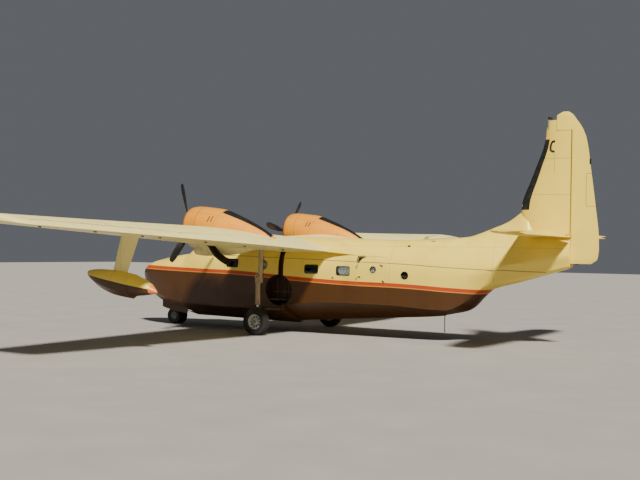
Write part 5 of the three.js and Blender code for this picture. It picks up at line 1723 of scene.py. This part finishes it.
class FB_OT_nose_gear(Part, bpy.types.Operator):
    """Nose leg, steered fork, twin wheels and bay doors"""

    bl_idname = "flying_boat.nose_gear"
    bl_label = "Nose landing gear"

    def build(self, s):
        axle_z, front = NOSE_TYRE["radius"], BAY["front"]
        upright = facing((NOSE_GEAR_X, 0, 0))
        leg = [spun([(0.8604, 0.066), (0.87, 0.072), (0.93, 0.072), (0.94, 0.062), (1.2, 0.062),
            (1.21, 0.07), (1.26, 0.07), (1.27, 0.062), (1.5, 0.064), (1.5596, 0.072)], upright, 36)]
        leg.append(tube([(NOSE_GEAR_X + 0.02, 0, 1.15), (front - 0.03, 0, 1.4)], 0.032, 20))
        leg.append(slab((front - 0.07, -0.06, 1.33), (front - 0.0004, 0.06, 1.47), 0.015))
        fit("nose_leg_strut", leg, "gear_paint", shaded_gear_cream(), "nose_leg")
        fork = [spun([(axle_z - 0.02, 0.046), (0.5, 0.046), (0.52, 0.054), (0.7, 0.054), (0.71, 0.062),
            (0.77, 0.062), (0.78, 0.054), (NOSE_FORK_TOP - 0.006, 0.054), (NOSE_FORK_TOP, 0.048)], upright,
            36)]
        barrel = lathe([(-0.062, 0.034), (-0.062, 0.054), (-0.055, 0.06), (0.055, 0.06), (0.062, 0.054),
            (0.062, 0.034)], facing((NOSE_GEAR_X, 0, axle_z), (0, 1, 0)), 40)
        hole = spun([(-0.2, 0.034), (0.2, 0.034)], facing((NOSE_GEAR_X, 0, axle_z), (0, 1, 0)), 40)
        carve(fork[0], hole)
        fork.append(barrel)
        fork.append(slab((NOSE_GEAR_X - 0.09, -0.09, 0.705), (NOSE_GEAR_X + 0.06, 0.09, 0.775), 0.02))
        for across in (0.03, -0.03):
            for link in ([(7.96, 0.76), (8.06, 0.6), (8.05, 0.57), (8.02, 0.57), (7.93, 0.68),
                    (7.93, 0.76)], [(8.02, 0.6), (8.05, 0.6), (8.06, 0.57), (7.95, 0.4), (7.91, 0.42)]):
                fork.append(pushed(link, across - 0.008, across + 0.008))
        fork.append(tube([(8.04, -0.05, 0.585), (8.04, 0.05, 0.585)], 0.01, 12))
        fit("nose_fork_forging", fork, "gear_paint", enamel("nose fork paint", (0.16, 0.15, 0.14), 0.5),
            "nose_fork", body="nose_steering")
        self.wheels(axle_z)
        for name, side in SIDES:
            self.bay_door(name, side)

    def wheels(self, axle_z):
        rim = NOSE_TYRE["rim"]
        pieces = [tube([(NOSE_GEAR_X, -0.15, axle_z), (NOSE_GEAR_X, 0.15, axle_z)], 0.026, 28)]
        for name, side in SIDES:
            placing = facing((NOSE_GEAR_X, NOSE_WHEEL_Y * side, axle_z), (0, side, 0))
            section = [(-0.058, rim), (-0.061, rim - 0.01), (-0.056, 0.138), (-0.05, 0.13), (0.008, 0.12),
                (0.008, 0.075), (-0.1276, 0.06), (-0.1276, 0.02), (0.045, 0.02), (0.05, 0.035),
                (0.046, 0.05), (0.034, 0.07), (0.03, 0.09), (0.032, 0.122), (0.05, 0.14), (0.062, 0.148),
                (0.063, 0.16), (0.058, rim)]
            pieces.append(lathe(section, placing, 64))
            pieces += bolts(placing, 0.031, 0.1, 8, 0.007)
            pieces.append(lathe([(0.04, 0), (0.04, 0.036), (0.058, 0.03), (0.064, 0)], placing, 32))
            tyre = lathe(tyre_outline(**NOSE_TYRE, grooves=(0.022, 0.05)), placing, 80)
            fit(f"nose_tyre_{name}_rubber", [tyre], "tyre_rubber", tyre_rubber(), f"nose_tyre_{name}",
                body="nose_wheels")
        fit("nose_wheel_rims", pieces, "wheel_rim", enamel("nose wheel paint", (0.13, 0.135, 0.14), 0.4,
            0.4), "nose_wheels", body="nose_wheels")

    def bay_door(self, name, side):
        low, high = sorted(y * side for y in NOSE_DOOR_Y)
        door = pushed(NOSE_DOOR, low, high)
        carve(door, hull_loft(8.7, 6.8, 0.004))
        ribs = []
        inside = min(NOSE_DOOR_Y) * side
        for x, z_low, z_high in ((8.12, 0.7, 0.9), (7.72, 0.6, 0.8), (7.3, 0.53, 0.76)):
            ribs.append(slab((x - 0.02, inside, z_low), (x + 0.02, inside - 0.012 * side, z_high), 0.005))
        fit(f"nose_door_{name}_skin", [door, *ribs], "gear_brown", hull_paint(), f"nose_door_{name}")


class FB_OT_flight_deck(Part, bpy.types.Operator):
    """Pilots' seats, instrument panel, pedestal, yokes and floors"""

    bl_idname = "flying_boat.flight_deck"
    bl_label = "Flight deck"

    def build(self, s):
        hide = leather("seat leather", (0.05, 0.035, 0.025))
        for name, side in SIDES:
            y = SEAT_Y * side
            pads = [cushion((5.27, y - 0.225, 2.16), (5.645, y + 0.225, 2.315), 0.5),
                cushion((5.14, y - 0.22, 2.3), (5.255, y + 0.22, 2.985), 0.5),
                cushion((5.145, y - 0.115, 2.995), (5.225, y + 0.115, 3.155), 0.6)]
            soft = fit(f"pilot_seat_{name}_pads", pads, "seat_leather", hide, f"pilot_seat_{name}")
            frame = [slab((5.255, y - 0.215, 2.1), (5.64, y + 0.215, 2.165), 0.015)]
            for leg_y in (y - 0.18, y + 0.18):
                frame.append(tube(curved([(5.6, leg_y, 1.905), (5.5, leg_y, 2.02), (5.34, leg_y, 2.12)], 5),
                    0.016, 12))
                frame.append(tube([(5.28, leg_y, 1.905), (5.3, leg_y, 2.12)], 0.016, 12))
                frame.append(tube(curved([(5.24, leg_y, 2.1), (5.19, leg_y, 2.4), (5.16, leg_y, 2.9)], 5),
                    0.013, 12))
            for post_y in (y - 0.05, y + 0.05):
                frame.append(tube([(5.185, post_y, 2.92), (5.185, post_y, 3.05)], 0.008, 10))
            fit(f"pilot_seat_{name}_frame", frame, "engine_metal", bare_metal("seat tube", (0.2, 0.2, 0.2),
                0.4))
        self.panel()
        floors = [slab((4.74, -1.1, DECK_FLOOR_Z - 0.01), (6.58, 1.1, DECK_FLOOR_Z + 0.006), 0.004)]
        for front, back in ((4.68, 1.62), (1.78, -4.9)):
            tile = slab((back, -1.3, CABIN_FLOOR_Z - 0.03), (front, 1.3, CABIN_FLOOR_Z + 0.006), 0.004)
            floors.append(carve(tile, hull_loft(front + 0.1, back - 0.1, HULL_WALL - 0.01),
                operation="INTERSECT"))
        floor = carve(floors.pop(0), hull_loft(6.62, 4.7, HULL_WALL - 0.01), operation="INTERSECT")
        fit("floor_covering", [floor, *floors], "seat_leather", soft_cloth("floor covering",
            (0.05, 0.045, 0.04)))
        self.lining()

    def lining(self):
        """Dark cloth inside the skin, with openings at the windows and the door."""
        runs = []
        wall = WELL["wall"]
        for front, back, low in ((6.6, 4.74, DECK_FLOOR_Z), (4.58, STEP_X + 0.06, CABIN_FLOOR_Z),
                (1.74, -4.9, CABIN_FLOOR_Z)):
            run = hull_loft(front, back, HULL_WALL + 0.002)
            carve(run, hull_loft(front + 0.1, back - 0.1, HULL_WALL + 0.008))
            carve(run, slab((-6, -2, 0), (8, 2, low), 0))
            for side in (1, -1):
                tools = [well_cup(side, WELL["inner"] - wall, wall), well_slot(side,
                    WELL["slot_inner"] - wall, wall)]
                tools += [window_tool(*row[1:6], side, 0.012) for row in CABIN_WINDOWS if side in row[6]]
                tools += [window_tool(*window, side, 0.012, DECK_WINDOW_DEPTH)
                    for window in DECK_SIDE_WINDOWS]
                tools.append(pushed([(y * side, z) for y, z in grown(WINDSCREEN_PANE, 0.012)],
                    *WINDSCREEN_REACH, "x"))
                if side > 0:
                    tools.append(door_tool(0.02))
                carve(run, *tools)
            runs.append(run)
        # The lining's near-black cloth is partly painted shade inside the cabin.
        fit("cabin_lining", runs, "seat_leather", soft_cloth("lining cloth dark as shade", (0.03, 0.027, 0.023)))

    def panel(self):
        board = pushed([(-0.9, 2.38), (0.9, 2.38), (0.86, 2.8), (-0.86, 2.8)], 6.245, 6.33, "x")
        hood = [[(x, y, z + 0.02 * (1 - (y / 0.87) ** 2)) for y in np.linspace(-0.87, 0.87, 21)]
            for x, z in ((6.19, 2.8), (6.2, 2.815), (6.32, 2.82), (6.35, 2.79))]
        hood = thick(loft(hood, caps=False, open_ring=True), 0.012)
        stand = pushed([(5.9, 1.902), (6.25, 1.902), (6.25, 2.42), (6.1, 2.42), (5.93, 2.2), (5.9, 2.1)],
            -0.12, 0.12)
        black = [board, hood, stand]
        faces, needles = [], []
        for side in (1, -1):
            for row in range(2):
                for column in range(4):
                    y, z = side * (0.22 + 0.16 * column), 2.67 - 0.17 * row
                    placing = facing((6.245, y, z), (-1, 0, 0))
                    black.append(lathe([(0, 0.052), (0, 0.068), (0.014, 0.066), (0.016, 0.058),
                        (0.008, 0.052)], placing, 32))
                    faces.append(spun([(0.001, 0.054), (0.005, 0.054)], placing, 28))
                    turn = placing @ Matrix.Rotation(0.7 * column + 1.9 * row + side, 4, "Z")
                    needles.append(slab((-0.003, -0.01, 0.006), (0.003, 0.04, 0.008), 0.001, turn))
                    for angle in turns(12):
                        mark = placing @ Matrix.Rotation(angle, 4, "Z")
                        needles.append(slab((-0.0015, 0.042, 0.005), (0.0015, 0.05, 0.0065), 0.0005, mark))
            y = SEAT_Y * side
            wheel = [(5.98, y + 0.15 * sin(t), 2.42 + 0.15 * cos(t)) for t in np.linspace(0.6, 5.68, 25)]
            black.append(tube(wheel, 0.013, 12))
            black.append(tube([(5.98, y - 0.14, 2.42), (5.98, y + 0.14, 2.42)], 0.011, 10))
            black.append(tube(curved([(5.98, y, 2.42), (6.1, y, 2.41), (6.24, y, 2.4)], 5), 0.02, 14))
        for y in (-0.07, -0.025, 0.025, 0.07):
            black.append(tube([(6.05, y, 2.36), (6.0, y, 2.5)], 0.006, 8))
            black.append(lathe([(-0.016, 0), (-0.014, 0.01), (0, 0.016), (0.014, 0.01), (0.016, 0)],
                facing((6.0, y, 2.5)), 16))
        fit("instrument_board", black, "panel_black", enamel("panel black", (0.02, 0.02, 0.022), 0.2, 0.6),
            "instrument_panel")
        fit("dial_faces", faces, "panel_black", enamel("dial black", (0.006, 0.006, 0.007), 0.1, 0.25))
        fit("dial_marks", needles, "cream_paint", enamel("dial white", (0.7, 0.68, 0.6), 0.1, 0.5))


def cushion(low, high, roundness):
    """A stuffed pad: crowned faces, sides that pull in between the corners, and a seam round its edge."""
    work = bmesh.new()
    bmesh.ops.create_cube(work, size=2.0)
    bmesh.ops.subdivide_edges(work, edges=work.edges[:], cuts=11, use_grid_fill=True)
    low, high = Vector(low), Vector(high)
    middle, half = (low + high) / 2, (high - low) / 2
    thin = min(range(3), key=lambda k: half[k])
    for vert in work.verts:
        u, v, w = vert.co
        ball = Vector((u * sqrt(1 - v * v / 2 - w * w / 2 + v * v * w * w / 3),
            v * sqrt(1 - w * w / 2 - u * u / 2 + w * w * u * u / 3), w * sqrt(1 - u * u / 2 - v * v / 2 + u
            * u * v * v / 3)))
        place = vert.co.lerp(ball, roundness * 0.45)
        pull = 1 - 0.03 * exp(-((vert.co[thin] / 0.12) ** 2))
        for k in range(3):
            place[k] *= pull if k != thin else 1
        vert.co = Vector([middle[k] + place[k] * half[k] for k in range(3)])
    obj = from_work("part", work)
    rounder = obj.modifiers.new("soft", "SUBSURF")
    rounder.levels = rounder.render_levels = 1
    return baked(obj)


class FB_OT_fittings(Part, bpy.types.Operator):
    """Rails, chine and keel strips, aerials, lights, hinge fittings, cleats and the keel rod"""

    bl_idname = "flying_boat.fittings"
    bl_label = "Outside fittings"

    def build(self, s):
        rails = []
        for side, runs in ((1, ((4.85, 2.13), (1.85, -1.25), (-2.41, -7.9))),
                (-1, ((4.85, 2.13), (1.85, -7.9)))):
            for front, back in runs:
                points = [hull_point(x, RAIL.at(x)[0], side, 0.001) for x in places(front, back, 0.2,
                    *HULL_KNOTS)]
                rails.append(tube(points, RAIL_RADIUS, 10))
        fit("side_rails", rails, "cream_paint", shaded_rail_paint())
        strips = []
        for front, back in ((8.9, 1.8), (1.78, -4.2)):
            stations = places(front, back, 0.2, *HULL_KNOTS)
            for side in (1, -1):
                strips.append(tube([(x, hull_lines(x)[1] * side, hull_lines(x)[2]) for x in stations],
                    0.016, 8))
            strips.append(tube([(x, 0, hull_lines(x)[0]) for x in stations], 0.018, 8))
        fit("chine_and_keel_strips", strips, "hull_paint", hull_paint())
        dark, pale = [], []
        pale.append(self.blade((-3.24, 0, 3.53), 0.24, 0.15, 0.16))
        dark.append(tube([(-3.36, 0, 3.665), (-3.8, 0, 3.705)], [0.007, 0.005], 8))
        shoulder = hull_point(-3.08, 3.3, 1, 0.0)
        dark.append(self.blade((shoulder.x + 0.08, shoulder.y, shoulder.z - 0.02), 0.16, 0.08, 0.07,
            Vector((0, 0.5, 0.85))))
        dark.append(patch(DOOR_DARK_PLATE, 1, -0.012, 0.01))
        dark += [lathe([(7.62, 0), (7.62, 0.07), (7.7, 0.07), (7.716, 0.055), (7.72, 0)],
            facing((-7.9, 0, 0)), 28)]
        pale.append(spun([(7.3, 0.055), (7.6, 0.06), (7.625, 0.06)], facing((-7.88, 0, 0)), 28))
        dark.append(slab((-0.3, 1.2, 2.11), (-0.22, 1.265, 2.15), 0.01))
        mark = [(-8.11, 6.885), (-8.03, 6.88), (-7.985, 6.82), (-7.955, 6.7), (-7.97, 6.6), (-8.03, 6.55),
            (-8.1, 6.545)]
        dark.append(tube(curved([(x, 0.084, z) for x, z in mark], 5), 0.034, 12))
        for y in (2.9, 5.2, 7.3, 9.3, 10.0, 11.8, 13.7):
            for side in (1, -1):
                dark.append(self.hinge(y, side))
        for side, tint in ((1, "port"), (-1, "starboard")):
            color = (0.35, 0.01, 0.008) if side > 0 else (0.01, 0.16, 0.03)
            lens = lathe([(-0.08, 0), (-0.07, 0.012), (-0.03, 0.024), (0.03, 0.026), (0.08, 0.014),
                (0.09, 0)], facing((2.62, 14.7 * side, 3.79), (1, 0, 0.08)), 24)
            fit(f"tip_light_{tint}", [lens], "glazing", enamel(f"{tint} lens", color, 0.1, 0.15))
            for x in (7.9, -3.9):
                top = hull_point(x, hull_lines(x)[5] - 0.1, side, 0.0)
                pale += self.cleat(top)
        fit("small_dark_fittings", dark, "propeller_black", black_paint())
        fit("small_cream_fittings", pale, "cream_paint", shaded_rail_paint())
        moving = [slab((-9.3, -0.02, 6.08), (-9.235, 0.02, 6.28), 0.018),
            slab((-8.9, -0.035, 2.77), (-8.8, 0.035, 2.84), 0.012)]
        fit("rudder_fittings", moving, "propeller_black", black_paint(), body="rudder")
        rod = [(0.27, 0), (0.27, 0.012), (0.29, 0.016), (0.9, 0.016), (0.91, 0.03), (0.96, 0.03), (0.96, 0)]
        fit("keel_rod_steel", [lathe(rod, facing((-4.16, 0, 0)), 20)], "propeller_black", black_paint(),
            "keel_rod")
        self.fillets()

    def blade(self, foot, chord, height, sweep, up=UP):
        """A swept aerial standing on its foot's front corner."""
        rings = []
        across = up.cross(AHEAD).normalized()
        for part in (0, 0.35, 0.7, 0.93, 1):
            size = chord * mix(1, 0.45, part) * (1 if part < 1 else 0.7)
            front = Vector(foot) + up * (height * part) - AHEAD * (sweep * part)
            outline = whole_outline(0, -size, lambda x, size=size: (foil_height(-x / size, 0.14)[0] * size
                + 0.001, -foil_height(-x / size, 0.14)[0] * size - 0.001), 8)
            rings.append([front + AHEAD * x + across * off for x, off in outline])
        return loft(rings)

    def hinge(self, y, side):
        """A hinge fitting under the wing, ahead of a flap's or an aileron's nose."""
        surface = FLAP if y < FLAP[1] + END_GAP else AILERON
        (hinge_x, _), _ = hinge_at(surface, min(max(y, surface[0]), surface[1]))
        x = hinge_x + 0.2
        low = WingSection(y).heights(x)[1]
        outline = [(x + 0.1, low + 0.01), (x + 0.06, low - 0.02), (x - 0.02, low - 0.035),
            (x - 0.04, low - 0.02), (x - 0.03, low + 0.01)]
        return pushed(outline, y * side - 0.014, y * side + 0.014)

    def cleat(self, at):
        along = AHEAD * 0.09
        up = Vector((0, at.y, 1.2)).normalized()
        horn = curved([at + up * 0.035 - along, at + up * 0.04, at + up * 0.035 + along], 6)
        posts = [tube([at + up * -0.01 + along * k, at + up * 0.036 + along * k], 0.011, 12)
            for k in (-0.35, 0.35)]
        return [tube(horn, [0.006] + [0.012] * (len(horn) - 2) + [0.006], 12), *posts]

    def fillets(self):
        """Wedges that carry the wing's trailing edge into the hull's side."""
        pieces = []
        for side in (1, -1):
            rings = []
            for part in (0.0, 0.25, 0.5, 0.75, 1.0):
                x = mix(-0.02, -1.2, part)
                z = mix(3.09, 2.97, part)
                hull = hull_width(x, z)
                reach = mix(1.42, hull + 0.012, min(1, part * 1.15) ** 0.7)
                lift = mix(0.05, 0.012, part)
                ring = [(hull - 0.08, z + lift * 2.4), (hull + (reach - hull) * 0.4, z + lift * 1.1),
                    (reach, z + 0.004), (reach, z - 0.008), (hull + (reach - hull) * 0.4, z - lift * 0.8),
                    (hull - 0.08, z - lift * 1.6)]
                rings.append([(x, y * side, h) for y, h in ring])
            pieces.append(loft(rings))
        fit("wing_root_fillets", pieces, "cream_paint", hull_paint())


class FB_OT_stage(Part, bpy.types.Operator):
    """Floor, soft lights, sky light and the camera"""

    bl_idname = "flying_boat.stage"
    bl_label = "Stage"

    def build(self, s):
        floor = new_object("floor", [(-s.floor_size, -s.floor_size, 0), (s.floor_size, -s.floor_size, 0),
            (s.floor_size, s.floor_size, 0), (-s.floor_size, s.floor_size, 0)], [(0, 1, 2, 3)])
        f = Finish("pale floor", (0.325, 0.308, 0.283), 0.85)
        f.color(f.blend(f.span(f.noise(0.6, 5), 0.3, 0.7), (0.305, 0.289, 0.265), (0.345, 0.327, 0.301)))
        floor.data.materials.append(f.material)
        world = bpy.data.worlds.new("soft sky")
        world.use_nodes = True
        world.node_tree.nodes["Background"].inputs[0].default_value = (0.86, 0.91, 1.0, 1)
        world.node_tree.nodes["Background"].inputs[1].default_value = s.sky_light
        bpy.context.scene.world = world
        sun = bpy.data.lights.new("key light", "SUN")
        sun.energy = s.key_light
        sun.angle = radians(s.key_softness)
        sun.color = (1.0, 0.95, 0.86)
        lamp = placed("key light", sun)
        lamp.rotation_euler = Vector((-2.9, 3.0, 4.5)).to_track_quat("Z", "Y").to_euler()
        self.camera()

    def camera(self):
        data = bpy.data.cameras.new("camera")
        data.lens = CAMERA_LENS
        data.sensor_width = 36
        data.clip_end = 500
        camera = placed("camera", data)
        yaw, pitch = radians(CAMERA_YAW), radians(CAMERA_PITCH)
        look = Vector((sin(yaw) * cos(pitch), -cos(yaw) * cos(pitch), sin(pitch)))
        turned = look.to_track_quat("-Z", "Y").to_matrix().to_4x4() @ Matrix.Rotation(radians(CAMERA_ROLL),
            4, "Z")
        camera.matrix_world = Matrix.Translation(CAMERA_AT) @ turned
        bpy.context.scene.camera = camera


def paint_setting(name, description, code):
    return FloatVectorProperty(name=name, description=description, default=linear(code), subtype="COLOR",
        size=3, min=0, max=1)


class FlyingBoatSettings(bpy.types.PropertyGroup):
    """Sizes and colours a user would change"""

    cream: paint_setting("Cream", "Upper hull and tail paint", "F2D659")
    wing_cream: paint_setting("Wing cream", "Paint of the wing and lower cowls", "F4E697")
    brown: paint_setting("Brown", "Lower hull paint", "4A2C0B")
    orange: paint_setting("Orange", "Nacelle and cowl paint", "DE921E")
    stripe: paint_setting("Stripe", "Stripe along the hull and cowl lips", "B84612")
    pinstripe_color: paint_setting("Pinstripe", "Thin line under the stripe", "CE8434")
    float_tip: paint_setting("Float tip", "Stern end of the floats", "D67C3A")
    stripe_height: FloatProperty(name="Stripe height", description="Height of the stripe", default=0.125,
        unit="LENGTH", min=0.02, max=0.5)
    pinstripe: FloatProperty(name="Pinstripe height", description="Height of the thin line", default=0.035,
        unit="LENGTH", min=0.005, max=0.1)
    boot_share: FloatProperty(name="Boot width", description="Share of the chord under the boots",
        default=0.07, min=0.01, max=0.2)
    fin_boot_share: FloatProperty(name="Fin boot width",
        description="Share of the chord under the fin's boot", default=0.12, min=0.01, max=0.2)
    floor_size: FloatProperty(name="Floor", description="Half the floor's width", default=120,
        unit="LENGTH", min=20)
    sky_light: FloatProperty(name="Sky light", description="Strength of the sky", default=0.14, min=0)
    key_light: FloatProperty(name="Key light", description="Strength of the key light", default=7.5, min=0)
    key_softness: FloatProperty(name="Key softness", description="Angle the key light spans, in degrees",
        default=6, min=0, max=90)


OPERATORS = (
    FB_OT_stage, FB_OT_bow, FB_OT_cabin, FB_OT_tail_cone, FB_OT_wing, FB_OT_boots, FB_OT_tail, FB_OT_nacelles,
    FB_OT_engines, FB_OT_propellers, FB_OT_floats, FB_OT_glazing, FB_OT_door, FB_OT_wells, FB_OT_main_gear,
    FB_OT_nose_gear, FB_OT_flight_deck, FB_OT_fittings,
)


class FB_PT_panel(bpy.types.Panel):
    """Settings and one button for each group of pieces"""

    bl_label = "Flying boat"
    bl_idname = "FB_PT_panel"
    bl_space_type = "VIEW_3D"
    bl_region_type = "UI"
    bl_category = "Flying boat"

    def draw(self, context):
        for name in FlyingBoatSettings.__annotations__:
            self.layout.prop(context.scene.flying_boat, name)
        for operator in OPERATORS:
            self.layout.operator(operator.bl_idname)


CLASSES = (FlyingBoatSettings, *OPERATORS, FB_PT_panel)


def register():
    for cls in CLASSES:
        bpy.utils.register_class(cls)
    bpy.types.Scene.flying_boat = PointerProperty(type=FlyingBoatSettings)


def unregister():
    del bpy.types.Scene.flying_boat
    for cls in reversed(CLASSES):
        bpy.utils.unregister_class(cls)


def main():
    register()
    for operator in OPERATORS:
        group, call = operator.bl_idname.split(".")
        getattr(getattr(bpy.ops, group), call)()


if __name__ == "__main__":
    main()
